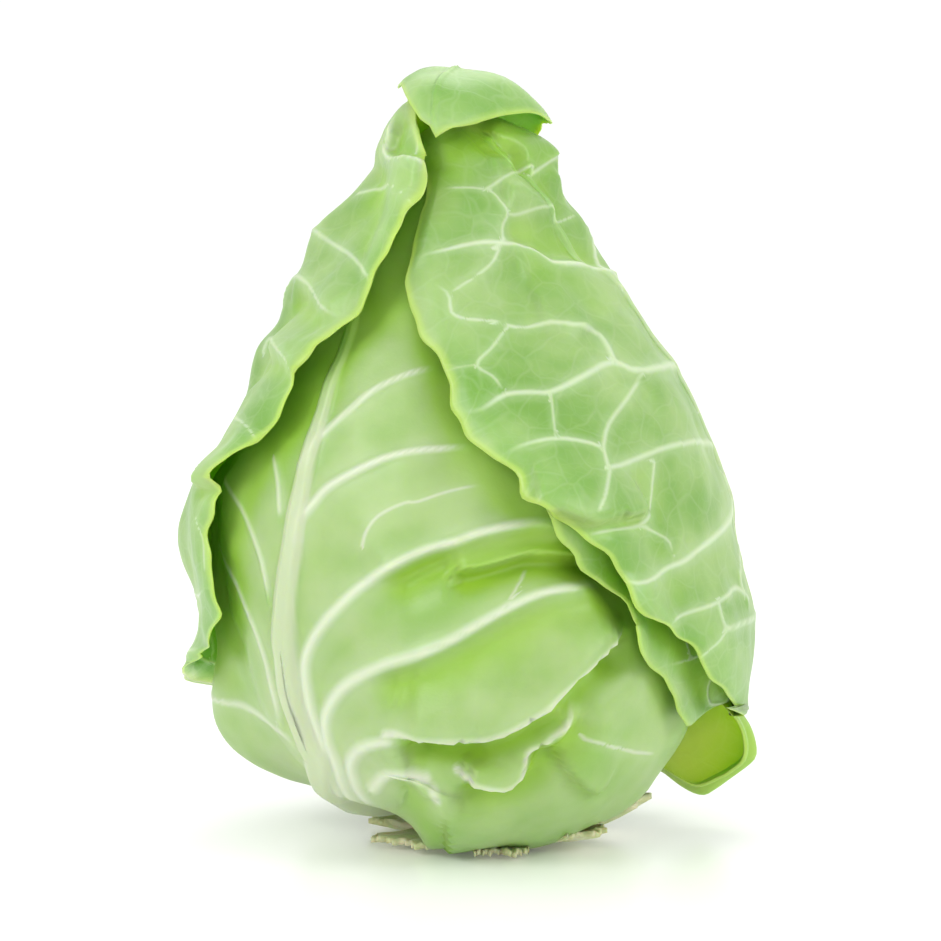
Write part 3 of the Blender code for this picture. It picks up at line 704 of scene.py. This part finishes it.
# The big leaf on the right, with a net of ribs that show from the front.
rightLeaf = {
    "mid": [
        root(118), at(122, 23), at(121, 32), at(111, 44), at(99, 60), at(94, 76),
        at(90, 94), at(87, 115.3), at(82, 138.1), at(72, 162), at(52, 183.9), at(10, 199.2),
    ],
    "left": splice(
        [
            root(112), at(116, 25), at(116, 37), front(68.4, 43, 20), front(45, 67, 18),
            front(33, 83, 16), front(17, 98, 14), front(-3.2, 120, 13), front(-16.2, 147, 13),
            front(-23.5, 165, 13),
            front(-16.8, 190, 13), at(-50, 198.2),
        ],
        3 / 11, 10 / 11,
        ((722, 710), (713, 699), (701, 682), (687, 669), (675, 646), (660, 635), (646, 624), (630, 617),
            (621, 613), (609, 598), (600, 580), (597, 572), (590, 557), (575, 543), (545, 520),
            (520, 508), (510, 500), (503, 480), (495, 465), (475, 445), (460, 425), (453, 410),
            (447, 390), (430, 350), (412, 312), (405, 290), (409, 265), (428, 203)),
        14.0,
    ),
    "right": [
        root(127), at(132, 25), at(135, 38), at(141, 54), at(150, 74), at(158, 94),
        at(164, 113.4), at(166, 134.3), at(162, 155.3), at(154, 174.4), at(144, 189.6), at(122, 200.4),
    ],
    "grid": (236, 196),
    "seed": 7,
    "stand": (1.8, 0.0),
    "waves": (0.6, 6),
    "swell": (30.0, 1.0),
    "midrib": ((3.4, 1.0), (2.4, 0.8)),
    "sideRibs": [(1, (0.10, 0.19, 0.29, 0.40, 0.52, 0.64, 0.77), 0.09, 1.1, 1.0)],
    "veins": [
        (((679, 370), (642, 373), (608, 365), (579, 379), (548, 394), (531, 394), (504, 396), (480, 411),
            (458, 415)), (1.5, 0.7), (1.1, 0.4)),
        (((611, 365), (594, 336), (570, 326), (545, 327), (514, 330), (492, 324), (470, 322), (451, 316),
            (448, 297), (431, 285)), (1.1, 0.5), (0.8, 0.3)),
        (((623, 280), (601, 273), (579, 268), (550, 264), (531, 254), (499, 245), (473, 246), (444, 252),
            (417, 261)), (1.7, 0.5), (1.3, 0.3)),
        (((499, 246), (490, 265), (473, 280), (448, 297)), (0.6, 0.5), (0.4, 0.3)),
        (((500, 239), (501, 227), (505, 217), (498, 204), (484, 193), (442, 192)), (0.6, 0.4),
            (0.4, 0.2)),
        (((484, 193), (499, 183), (520, 173), (541, 165)), (0.6, 0.6), (0.5, 0.4)),
        (((505, 217), (520, 214), (546, 211), (561, 218), (576, 218)), (0.5, 0.4), (0.3, 0.2)),
        (((548, 396), (550, 418), (553, 440)), (0.5, 0.4), (0.3, 0.3)),
        (((710, 447), (667, 448), (637, 459), (606, 469), (599, 452), (579, 444), (553, 440), (519, 447),
            (494, 462)), (1.2, 0.6), (0.9, 0.4)),
        (((606, 469), (604, 486), (594, 515)), (0.8, 0.6), (0.5, 0.4)),
        (((599, 450), (606, 425), (623, 401), (637, 379)), (0.8, 0.7), (0.5, 0.4)),
        (((504, 331), (490, 350), (475, 367), (492, 379), (502, 394)), (0.6, 0.5), (0.4, 0.3)),
        (((475, 366), (441, 373)), (0.5, 0.4), (0.3, 0.2)),
        (((742, 479), (732, 505), (703, 544), (682, 561), (664, 569), (640, 583), (621, 584),
            (609, 594)), (1.6, 0.6), (1.1, 0.4)),
        (((645, 515), (635, 527), (608, 531), (584, 536)), (0.8, 0.4), (0.5, 0.2)),
        (((635, 527), (662, 539), (669, 554)), (0.6, 0.4), (0.4, 0.2)),
        (((650, 462), (648, 491), (645, 515)), (0.6, 0.5), (0.4, 0.3)),
        (((745, 600), (734, 589), (724, 597), (713, 604), (692, 612), (666, 626)), (1, 0.5), (0.7, 0.3)),
        (((715, 604), (719, 618), (724, 630), (736, 626), (756, 615)), (0.9, 0.9), (0.6, 0.5)),
        (((724, 632), (710, 649), (693, 667), (687, 668)), (0.6, 0.4), (0.4, 0.2)),
        (((740, 500), (741, 540), (736, 575), (745, 605)), (1, 0.8), (0.8, 0.6)),
        (((541, 165), (556, 160), (570, 170)), (0.7, 0.5), (0.4, 0.3)),
    ],
    "folds": [
        (((520, 508), (535, 513), (560, 510), (575, 514), (598, 520), (620, 515), (655, 513)), 3.6, 11,
            1.4, 2),
        (((623, 278), (601, 272), (579, 267), (550, 263), (531, 254), (500, 246)), 2.2, 10, 4, 1.5),
        (((590, 330), (560, 300), (530, 300)), 1.8, 9, 6, 1),
        (((570, 180), (540, 168), (505, 158), (480, 165)), 2, 8, 4, 1.5),
        (((565, 205), (530, 195), (500, 190)), 1.6, 6, 3.5, 1),
        (((484, 131), (500, 138), (520, 150), (548, 170)), 2, 9, 3, 1.8),
    ],
    "mounds": [((740, 620), 1, 12)],
    "swellings": [
        (at(92, 193), 4.5, 8), (at(92, 184), 9, 9), (at(92, 170), 5, 10), (at(92, 154), 4, 10),
        (at(92, 120), -2, 25),
    ],
}

# The big leaf on the left, which stands off the front leaf, so its margin throws a shadow.
leftLeaf = {
    "mid": [
        root(-138), at(-140, 21), at(-140, 30), at(-138, 45), at(-134, 68), at(-131, 92),
        at(-125, 117.2), at(-116, 142.9), at(-106, 164.9), at(-100, 184.9), at(-95, 200.6),
    ],
    "right": splice(
        [
            root(-124), at(-124, 25), at(-116, 42), front(-84, 58, 15), front(-76.3, 71, 14),
            front(-79, 94, 14), front(-66, 117, 14), front(-46, 145, 17), front(-25, 172, 19),
            front(-15.5, 193, 18),
            at(-62, 200.5),
        ],
        0.3, 1.0,
        ((196, 657), (209, 647), (215, 633), (223, 616), (221, 604), (218, 577), (214, 553), (213, 533),
            (219, 514), (221, 492), (229, 477), (250, 458), (261, 447), (275, 429), (283, 418),
            (297, 398), (310, 382), (321, 362), (328, 349), (348, 329), (373, 304), (386, 280),
            (393, 269), (407, 249), (415, 232), (428, 216), (434, 203), (433, 192), (431, 176),
            (430, 154), (425, 131), (420, 113), (414, 99)),
        14.0,
    ),
    "left": [
        root(-150), at(-160, 25), at(-172, 40), at(-182, 62), at(-188, 88), at(-190, 111.4),
        at(-186, 136.2), at(-174, 159.1), at(-158, 176.3), at(-145, 192.6), at(-135, 200.4),
    ],
    "grid": (224, 170),
    "seed": 8,
    "stand": (0.5, 5.0),
    "waves": (0.8, 6),
    "swell": (26.0, 1.1),
    "midrib": ((3.4, 1.0), (2.4, 0.8)),
    "sideRibs": [
        (-1, (0.10, 0.20, 0.31, 0.43, 0.55, 0.68, 0.80), 0.09, 1.1, 1.0),
        (1, (0.12, 0.22, 0.33), 0.10, 1.0, 0.9),
    ],
    "veins": [
        (((318, 232), (335, 245), (358, 262), (375, 290)), (0.9, 0.6), (0.8, 0.4)),
        (((272, 300), (290, 280), (310, 285), (325, 310), (340, 320)), (0.9, 0.6), (0.8, 0.4)),
        (((362, 196), (385, 190), (405, 200), (425, 222)), (0.8, 0.5), (0.6, 0.3)),
        (((262, 350), (275, 338), (283, 352), (292, 366), (297, 382)), (0.9, 0.5), (0.8, 0.4)),
        (((240, 420), (250, 428), (258, 442)), (0.7, 0.4), (0.5, 0.3)),
        (((418, 128), (420, 150), (405, 165), (390, 168)), (0.8, 0.5), (0.7, 0.4)),
        (((200, 520), (205, 545), (208, 575)), (0.6, 0.4), (0.4, 0.3)),
    ],
    "folds": [
        (((192, 484), (205, 478), (220, 472), (236, 464), (252, 460)), 3.6, 10, 1.6, 2),
        (((262, 345), (278, 350), (290, 362), (298, 380)), 2.4, 8, 2.5, 1.5),
        (((285, 292), (305, 284), (322, 300), (335, 318)), 2.2, 8, 3, 1.5),
        (((375, 172), (395, 166), (412, 172), (426, 182)), 1.4, 8, 3.5, 0.6),
        (((430, 164), (412, 165), (397, 164), (388, 154), (391, 138), (395, 118)), 2, 7, 2.2, 2,
            (1, 0.9), (0.3, 0.2)),
    ],
    "mounds": [
        ((382, 130), 3.5, 8), ((350, 205), 2, 9), ((318, 235), 3, 10), ((292, 290), 3, 8), ((258, 348),
        4, 8), ((190, 530), 2.5, 9), ((186, 560), 2, 8),
    ],
    "swellings": [
        (at(-94, 192), 5, 8), (at(-94, 184), 3.5, 7), (at(-92, 165), 3, 9), (at(-104, 53), -4.5, 10),
    ],
}

# The leaf from the back, which closes over the tip.
capLeaf = {
    "mid": [
        root(186), at(186, 21.7), at(187, 30), at(188, 46), at(188, 70), at(187, 96), at(186, 121),
        at(184, 145.8), at(181, 168.7), at(178, 188.2), at(172, 197.6), at(-16, 199.9), at(-11, 192.4),
    ],
    "left": [
        root(170), at(164, 24.2), at(154, 34), at(144, 50), at(138, 74), at(136, 101.9), at(134, 126.7),
        at(136, 151.5), at(138, 170.0), at(136, 182.0), at(131, 189.5), at(117, 194.5), at(96, 195.0),
    ],
    "right": [
        root(202), at(208, 24.2), at(218, 34), at(228, 50), at(234, 74), at(236, 101.9), at(238, 126.7),
        at(238, 151.5), at(232, 174.4), at(226, 190.2), at(228, 197.8), at(244, 200.6), at(270, 200.2),
    ],
    "grid": (230, 120),
    "seed": 9,
    "stand": (0.5, 0.5),
    "waves": (0.5, 6),
    "swell": (26.0, 1.0),
    "midrib": ((3.6, 0.9), (2.6, 0.4)),
    "sideRibs": [
        (-1, (0.10, 0.19, 0.29, 0.40, 0.52, 0.64, 0.76), 0.08, 1.0, 0.8),
        (1, (0.12, 0.21, 0.31, 0.42, 0.54, 0.66, 0.78), 0.08, 1.0, 0.8),
    ],
    "swellings": [(at(75, 200.5), 1.8, 9.0), (at(-40, 202.0), -1.0, 7.0)],
    "mounds": [((455, 108), -1.6, 8)],
}
capLeaf["leftMiddle"] = between(capLeaf["mid"], capLeaf["left"])
capLeaf["leftMiddle"][-1] = at(30, 197.6)

leafSlots = {
    "inner_leaf_left": (innerLeafLeft, "inner_leaf"),
    "inner_leaf_right": (innerLeafRight, "inner_leaf"),
    "inner_leaf_back": (innerLeafBack, "inner_leaf"),
    "front_leaf": (frontLeaf, "front_leaf"),
    "lobed_leaf": (lobedLeaf, "outer_leaf"),
    "under_leaf": (underLeaf, "outer_leaf"),
    "right_leaf": (rightLeaf, "outer_leaf"),
    "left_leaf": (leftLeaf, "outer_leaf"),
    "cap_leaf": (capLeaf, "outer_leaf"),
}

laid = {}
field = np.zeros((turns, rings))
for name, (leaf, slotName) in leafSlots.items():
    field = layLeaf(name, leaf, field)
    print("laid", name)


# Materials
def setInputs(tree, node, values):
    # each input is given a fixed value or another node's output
    for socket, value in values.items():
        if isinstance(value, bpy.types.NodeSocket):
            tree.links.new(value, node.inputs[socket])
        else:
            node.inputs[socket].default_value = value
    return node


def mathNode(tree, operation, *values):
    node = tree.nodes.new("ShaderNodeMath")
    node.operation = operation
    return setInputs(tree, node, dict(enumerate(values))).outputs[0]


def rangeNode(tree, value, low, high, start=0.0, end=1.0):
    node = tree.nodes.new("ShaderNodeMapRange")
    node.interpolation_type = "SMOOTHSTEP"
    ends = {"Value": value, "From Min": low, "From Max": high, "To Min": start, "To Max": end}
    return setInputs(tree, node, ends).outputs["Result"]


def mixColours(tree, factor, first, second):
    node = tree.nodes.new("ShaderNodeMix")
    node.data_type = "RGBA"
    first, second = ((*value, 1) if isinstance(value, tuple) else value for value in (first, second))
    return setInputs(tree, node, {0: factor, 6: first, 7: second}).outputs[2]


def mixValues(tree, factor, first, second):
    node = tree.nodes.new("ShaderNodeMix")
    return setInputs(tree, node, {0: factor, 2: first, 3: second}).outputs[0]


def noiseNode(tree, place, scale, detail):
    node = tree.nodes.new("ShaderNodeTexNoise")
    return setInputs(tree, node, {"Vector": place, "Scale": scale, "Detail": detail}).outputs


def bumpNode(tree, height, strength, distance):
    node = tree.nodes.new("ShaderNodeBump")
    values = {"Height": height, "Strength": strength, "Distance": distance}
    return setInputs(tree, node, values).outputs["Normal"]


def mask(tree, name):
    node = tree.nodes.new("ShaderNodeAttribute")
    node.attribute_name = name
    return node.outputs["Fac"]


def newMaterial(name):
    material = bpy.data.materials.new(name)
    material.use_nodes = True
    tree = material.node_tree
    place = tree.nodes.new("ShaderNodeTexCoord").outputs["Object"]
    return material, tree, tree.nodes["Principled BSDF"], place


leafTissue = {
    # the first two strengths are for painted shade in fold hollows and under covering leaves
    "creaseShade": 0.8, "tuckedShade": 0.6, "midrib": 0.85, "margin": 0.75,  # how strongly each mask colours
    "bump": (0.55, 0.0006), "sheen": 0.15, "sheenRoughness": 0.3,
    "glow": 0.45, "glowColour": (0.6, 1.0, 0.12), "glowDepth": 0.006,
    "warp": (90, 1.5, 0.007),  # scale, detail and amount
    "nets": (("Net", 95, 0.07), ("Fine Net", 260, 0.10)),  # scale, half width of a vein
    "clouds": (("Mottle", 38, 3.0), ("Grain", 700, 2.0)),  # scale, detail
}


def buildTissueGroup():
    # the fine net of veins and the mottling that every leaf has, from Object coordinates in metres
    group = bpy.data.node_groups.new("leafTissue", "ShaderNodeTree")
    group.interface.new_socket(name="Vector", in_out="INPUT", socket_type="NodeSocketVector")
    for name, *_ in leafTissue["nets"] + leafTissue["clouds"]:
        group.interface.new_socket(name=name, in_out="OUTPUT", socket_type="NodeSocketFloat")
    place = group.nodes.new("NodeGroupInput").outputs["Vector"]
    end = group.nodes.new("NodeGroupOutput")
    scale, detail, amount = leafTissue["warp"]
    warp = noiseNode(group, place, scale, detail)["Color"]
    shifted = group.nodes.new("ShaderNodeVectorMath")
    shifted.operation = "MULTIPLY_ADD"
    setInputs(group, shifted, {0: warp, 1: (amount, amount, amount), 2: place})
    for socket, scale, width in leafTissue["nets"]:
        cells = group.nodes.new("ShaderNodeTexVoronoi")
        cells.feature = "DISTANCE_TO_EDGE"
        setInputs(group, cells, {"Vector": shifted.outputs[0], "Scale": scale})
        setInputs(group, end, {socket: rangeNode(group, cells.outputs["Distance"], width, 0.0)})
    for socket, scale, detail in leafTissue["clouds"]:
        cloud = noiseNode(group, place, scale, detail)["Fac"]
        setInputs(group, end, {socket: rangeNode(group, cloud, 0.32, 0.68)})
    return group


tissueGroup = buildTissueGroup()


def leafMaterial(name, look):
    material, tree, surface, place = newMaterial(name)

    def times(first, second):
        return mathNode(tree, "MULTIPLY", first, second)

    tissue = tree.nodes.new("ShaderNodeGroup")
    tissue.node_tree = tissueGroup
    tissue = setInputs(tree, tissue, {"Vector": place}).outputs
    # beside a rib its two sides are told apart, so that the line between them stays sharp
    strength, unsigned = mask(tree, "ribStrength"), mask(tree, "ribDistance")
    near = mathNode(tree, "ABSOLUTE", mask(tree, "ribSide"))
    distance = mixValues(tree, rangeNode(tree, unsigned, 1.4, 2.2), near, unsigned)
    onRib = times(rangeNode(tree, distance, 1.6, 0.0), strength)
    besideRib = times(rangeNode(tree, distance, 5.5, 0.4), strength)
    net, fineNet = times(tissue["Net"], look["net"]), times(tissue["Fine Net"], look["fineNet"])

    colour = mixColours(tree, tissue["Mottle"], look["green"], look["lightGreen"])
    for share, other in (
        (times(besideRib, look["halo"]), "paleGreen"),
        (times(mask(tree, "pale"), look["paleShare"]), "cream"),
        (mathNode(tree, "MAXIMUM", net, fineNet), "paleGreen"),
        # painted shade: deep green in fold hollows and where a leaf lies under others
        (times(mask(tree, "creaseShade"), leafTissue["creaseShade"]), "shadeGreen"),
        (times(mask(tree, "tuckedShade"), leafTissue["tuckedShade"]), "shadeGreen"),
        (times(onRib, look["ribShare"]), "rib"),
        (times(mask(tree, "midrib"), leafTissue["midrib"]), "cream"),
        (times(mask(tree, "margin"), leafTissue["margin"]), "edge"),
    ):
        colour = mixColours(tree, share, colour, look[other])
    height = times(onRib, 0.5)
    for relief in (times(net, 0.5), times(fineNet, 0.3), times(tissue["Grain"], 0.05)):
        height = mathNode(tree, "ADD", height, relief)
    setInputs(tree, surface, {
        "Base Color": colour,
        "Roughness": mathNode(tree, "MULTIPLY_ADD", tissue["Mottle"], 0.10, look["roughness"]),
        "Normal": bumpNode(tree, height, *leafTissue["bump"]),
        "Subsurface Weight": leafTissue["glow"],
        "Subsurface Radius": leafTissue["glowColour"],
        "Subsurface Scale": leafTissue["glowDepth"],
        "Coat Weight": leafTissue["sheen"],
        "Coat Roughness": leafTissue["sheenRoughness"],
    })
    return material


# in each look the deep green is painted shade, laid into fold hollows and under covering leaves
leafLooks = {
    "front_leaf": {
        "green": (0.225, 0.42, 0.075), "lightGreen": (0.335, 0.505, 0.175),
        "paleGreen": (0.40, 0.55, 0.26), "cream": (0.50, 0.57, 0.37),
        "shadeGreen": (0.28, 0.54, 0.02), "rib": (0.62, 0.68, 0.53),
        "edge": (0.42, 0.62, 0.16), "halo": 0.5, "paleShare": 0.8, "net": 0.0, "fineNet": 0.03,
        "ribShare": 0.85, "roughness": 0.42,
    },
    "outer_leaf": {
        "green": (0.16, 0.34, 0.045), "lightGreen": (0.30, 0.47, 0.15), "paleGreen": (0.42, 0.57, 0.30),
        "cream": (0.46, 0.56, 0.33), "shadeGreen": (0.28, 0.54, 0.02), "rib": (0.56, 0.67, 0.45),
        "edge": (0.42, 0.65, 0.10), "halo": 0.4, "paleShare": 0.5, "net": 0.15, "fineNet": 0.06,
        "ribShare": 0.85, "roughness": 0.38,
    },
    "lobed_leaf": {
        "green": (0.24, 0.48, 0.02), "lightGreen": (0.32, 0.55, 0.05), "paleGreen": (0.42, 0.62, 0.18),
        "cream": (0.56, 0.68, 0.34), "shadeGreen": (0.15, 0.40, 0.01), "rib": (0.56, 0.74, 0.36),
        "edge": (0.38, 0.62, 0.07), "halo": 0.4, "paleShare": 0.5, "net": 0.12, "fineNet": 0.06,
        "ribShare": 0.7, "roughness": 0.38,
    },
    "inner_leaf": {
        "green": (0.36, 0.57, 0.12), "lightGreen": (0.45, 0.63, 0.20), "paleGreen": (0.53, 0.67, 0.33),
        "cream": (0.63, 0.70, 0.45), "shadeGreen": (0.18, 0.42, 0.02), "rib": (0.72, 0.78, 0.60),
        "edge": (0.47, 0.64, 0.16), "halo": 0.5, "paleShare": 0.9, "net": 0.06, "fineNet": 0.03,
        "ribShare": 0.8, "roughness": 0.45,
    },
}
leafMaterials = {name: leafMaterial(name, look) for name, look in leafLooks.items()}

# painted shade: a leaf turns deeper green where the leaves laid round it stand higher, so where it lies
# tucked under others
shadeCover = alongRays(field, layers["shadeSpan"], np.mean)
shadeCover = alongRings(shadeCover, layers["shadeSpan"], np.mean)
for name, (leaf, slotName) in leafSlots.items():
    angle, reach, inner, outer, masks = laid[name]
    masks["tuckedShade"] = np.clip((sample(shadeCover, angle, reach) - outer - 0.5) / 3.0, 0, 1)
    faces = [aboveFloor(headPoint(angle, reach, lift)) for lift in (inner, outer)]
    piece = bendSheet(name + "_blade", *faces, masks)
    look = name if name in leafMaterials else slotName
    finishPiece(piece, name, leafMaterials[look])
print("built leaves")

# The stem and the trimmed leaf bases round it.
stem = {
    "radius": 18.0, "top": 18.0, "bevel": 0.8,
    "flesh": (0.74, 0.78, 0.50), "cut": (0.62, 0.52, 0.30), "dry": (0.40, 0.26, 0.10),
}
trimmedBases = {
    # middle angle, half width in degrees, outer radius, height of the outer edge
    "places": (
        (-32, 22, 42.0, 1.5), (6, 16, 44.0, 0.6), (38, 16, 46.0, 4.5), (74, 20, 45.0, 9.5),
        (150, 28, 31.0, 1.5), (-152, 26, 30.0, 1.5), (-88, 26, 31.0, 2.0),
    ),
    "thick": 3.0,
    "grid": (26, 60),
    "flesh": (0.80, 0.80, 0.58), "leafy": (0.58, 0.70, 0.34), "dry": (0.66, 0.56, 0.32),
}


def stemMaterial(name, fresh, leafy, dry):
    material, tree, surface, place = newMaterial(name)
    cloud = noiseNode(tree, place, 130, 4)["Fac"]
    fibre = noiseNode(tree, place, 900, 2)["Fac"]
    height = tree.nodes.new("ShaderNodeSeparateXYZ")
    setInputs(tree, height, {0: place})
    colour = mixColours(tree, rangeNode(tree, cloud, 0.35, 0.65), fresh, leafy)
    for amount, share in (
        (rangeNode(tree, cloud, 0.55, 0.75), 0.4),
        (mask(tree, "cutEdge"), 0.3),
        (rangeNode(tree, height.outputs["Z"], 0.0008, 0.0), 0.4),
    ):
        colour = mixColours(tree, mathNode(tree, "MULTIPLY", amount, share), colour, dry)
    setInputs(tree, surface, {
        "Base Color": colour,
        "Roughness": rangeNode(tree, cloud, 0.3, 0.7, 0.45, 0.65),
        "Normal": bumpNode(tree, fibre, 0.5, 0.0005),
        "Subsurface Weight": 0.15,
        "Subsurface Scale": 0.003,
    })
    return material


def makeStump():
    body = bmesh.new()
    radius, top = stem["radius"], stem["top"]
    bmesh.ops.create_cone(body, cap_ends=True, segments=96, radius1=radius, radius2=radius, depth=top)
    bmesh.ops.translate(body, verts=body.verts[:], vec=(0, 0, top / 2))
    rim = [edge for edge in body.edges if all(vert.co.z < 0.1 for vert in edge.verts)]
    bevel = {"offset": stem["bevel"], "segments": 3, "profile": 0.5, "affect": "EDGES", "material": -1}
    bmesh.ops.bevel(body, geom=rim, **bevel)
    sides = [edge for edge in body.edges if abs(edge.verts[0].co.z - edge.verts[1].co.z) > 5]
    bmesh.ops.subdivide_edges(body, edges=sides, cuts=12, use_grid_fill=True)
    for vert in body.verts:
        angle = math.atan2(vert.co.y, vert.co.x)
        narrower = 0.97 - 0.03 * math.sin(3 * angle + 1) + 0.008 * math.sin(23 * angle) * (vert.co.z > 1)
        vert.co.x *= narrower
        vert.co.y *= narrower
    bmesh.ops.scale(body, verts=body.verts[:], vec=(mm, mm, mm))
    mesh = meshFrom(body, "cut_stem")
    mesh.shade_smooth()
    return addPiece("cut_stem", mesh)


def makeTrimmedBase(number, middle, half, radius, rise):
    rows, columns = trimmedBases["grid"]
    y, x = np.meshgrid(np.linspace(0, 1, rows + 1), np.linspace(-1, 1, columns + 1), indexing="ij")
    ragged = 1.6 * np.sin(5.3 * x + middle) + 1.1 * np.sin(11 * x + 2 * middle)
    ragged += 0.7 * np.sin(31 * x + 3 * middle) + 0.5 * np.sin(53 * x + middle)
    reach = stem["radius"] + 0.6 + (radius - stem["radius"] + ragged) * y
    angle = np.radians(middle + half * x * (1 - 0.35 * y * np.abs(x)))
    ridges = 0.5 + 0.5 * np.sin(17 * x + 4 * y + middle)
    curl = 0.5 * smooth(0.6, 1, y) * (0.5 + 0.5 * np.sin(23 * x + middle))
    low = 0.3 + rise * y**2 + 0.6 * x * x + curl
    high = low + trimmedBases["thick"] - 1.2 * y - 0.4 * ridges * smooth(0.2, 1, y)
    edge = np.maximum(smooth(0.86, 1, y), smooth(0.9, 1, np.abs(x)))
    x, y = reach * np.sin(angle), -reach * np.cos(angle)
    faces = [np.stack([x, y, height], axis=-1) for height in (low, high)]
    name = f"trimmed_base_{number}"
    finishPiece(bendSheet(name + "_cut", *faces, {"cutEdge": edge}), name, baseMaterial)


baseMaterial = stemMaterial("trimmedBase", *(trimmedBases[k] for k in ("flesh", "leafy", "dry")))
stemFlesh = stemMaterial("stemFlesh", *(stem[k] for k in ("flesh", "cut", "dry")))
finishPiece(makeStump(), "stump", stemFlesh)
for number, settings in enumerate(trimmedBases["places"], start=1):
    makeTrimmedBase(number, *settings)
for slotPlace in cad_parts["heart"].material_slots:
    slotPlace.material = leafMaterials["inner_leaf"]
print("built stem and bases")


# Floor, light and camera
studio = {
    "floor": (0.96, 0.96, 0.96, 1),
    "floorRoughness": 0.22,
    "floorShine": 0.22,
    "floorGlow": 0.07,
    "sky": 1.03,
    "lights": (
        # place in m, size in m, power in W
        ((-1.0, -0.9, 0.9), 0.6, 8.0),
        ((1.1, -0.6, 0.7), 0.6, 5.5),
        ((0.2, 1.0, 1.2), 0.9, 4.0),
    ),
    "lookAt": (-0.0045, 0.0, 0.1055),
    "distance": 1.1,
    "elevation": 6.0,
    "lens": 145.0,
}


def makeFloor():
    sheet = bmesh.new()
    bmesh.ops.create_grid(sheet, x_segments=1, y_segments=1, size=6.0)
    floor = addPiece("floor", meshFrom(sheet, "floor"))
    material = bpy.data.materials.new("floorWhite")
    material.use_nodes = True
    tree = material.node_tree
    setInputs(tree, tree.nodes["Principled BSDF"], {
        "Base Color": studio["floor"],
        "Roughness": studio["floorRoughness"],
        "Specular IOR Level": studio["floorShine"],
        "Emission Color": (1, 1, 1, 1),
        "Emission Strength": studio["floorGlow"],
    })
    floor.data.materials.append(material)


def aim(thing, target):
    thing.rotation_euler = (Vector(target) - thing.location).to_track_quat("-Z", "Y").to_euler()


def makeLights():
    for number, (place, size, power) in enumerate(studio["lights"]):
        lamp = bpy.data.lights.new(f"softLight{number}", "AREA")
        lamp.size = size
        lamp.energy = power
        light = addPiece(f"softLight{number}", lamp)
        light.location = place
        aim(light, (0, 0, 0.1))
    world = bpy.data.worlds.new("studioSky")
    world.use_nodes = True
    background = world.node_tree.nodes["Background"]
    background.inputs["Color"].default_value = (1, 1, 1, 1)
    background.inputs["Strength"].default_value = studio["sky"]
    bpy.context.scene.world = world
    bpy.context.scene.view_settings.view_transform = "Standard"


def makeCamera():
    lens = bpy.data.cameras.new("camera")
    lens.lens = studio["lens"]
    lens.sensor_width = 36
    camera = addPiece("camera", lens)
    tilt = math.radians(studio["elevation"])
    away = Vector((0, -math.cos(tilt), math.sin(tilt))) * studio["distance"]
    camera.location = Vector(studio["lookAt"]) + away
    aim(camera, studio["lookAt"])
    bpy.context.scene.camera = camera


makeFloor()
makeLights()
makeCamera()
print("set the stage")
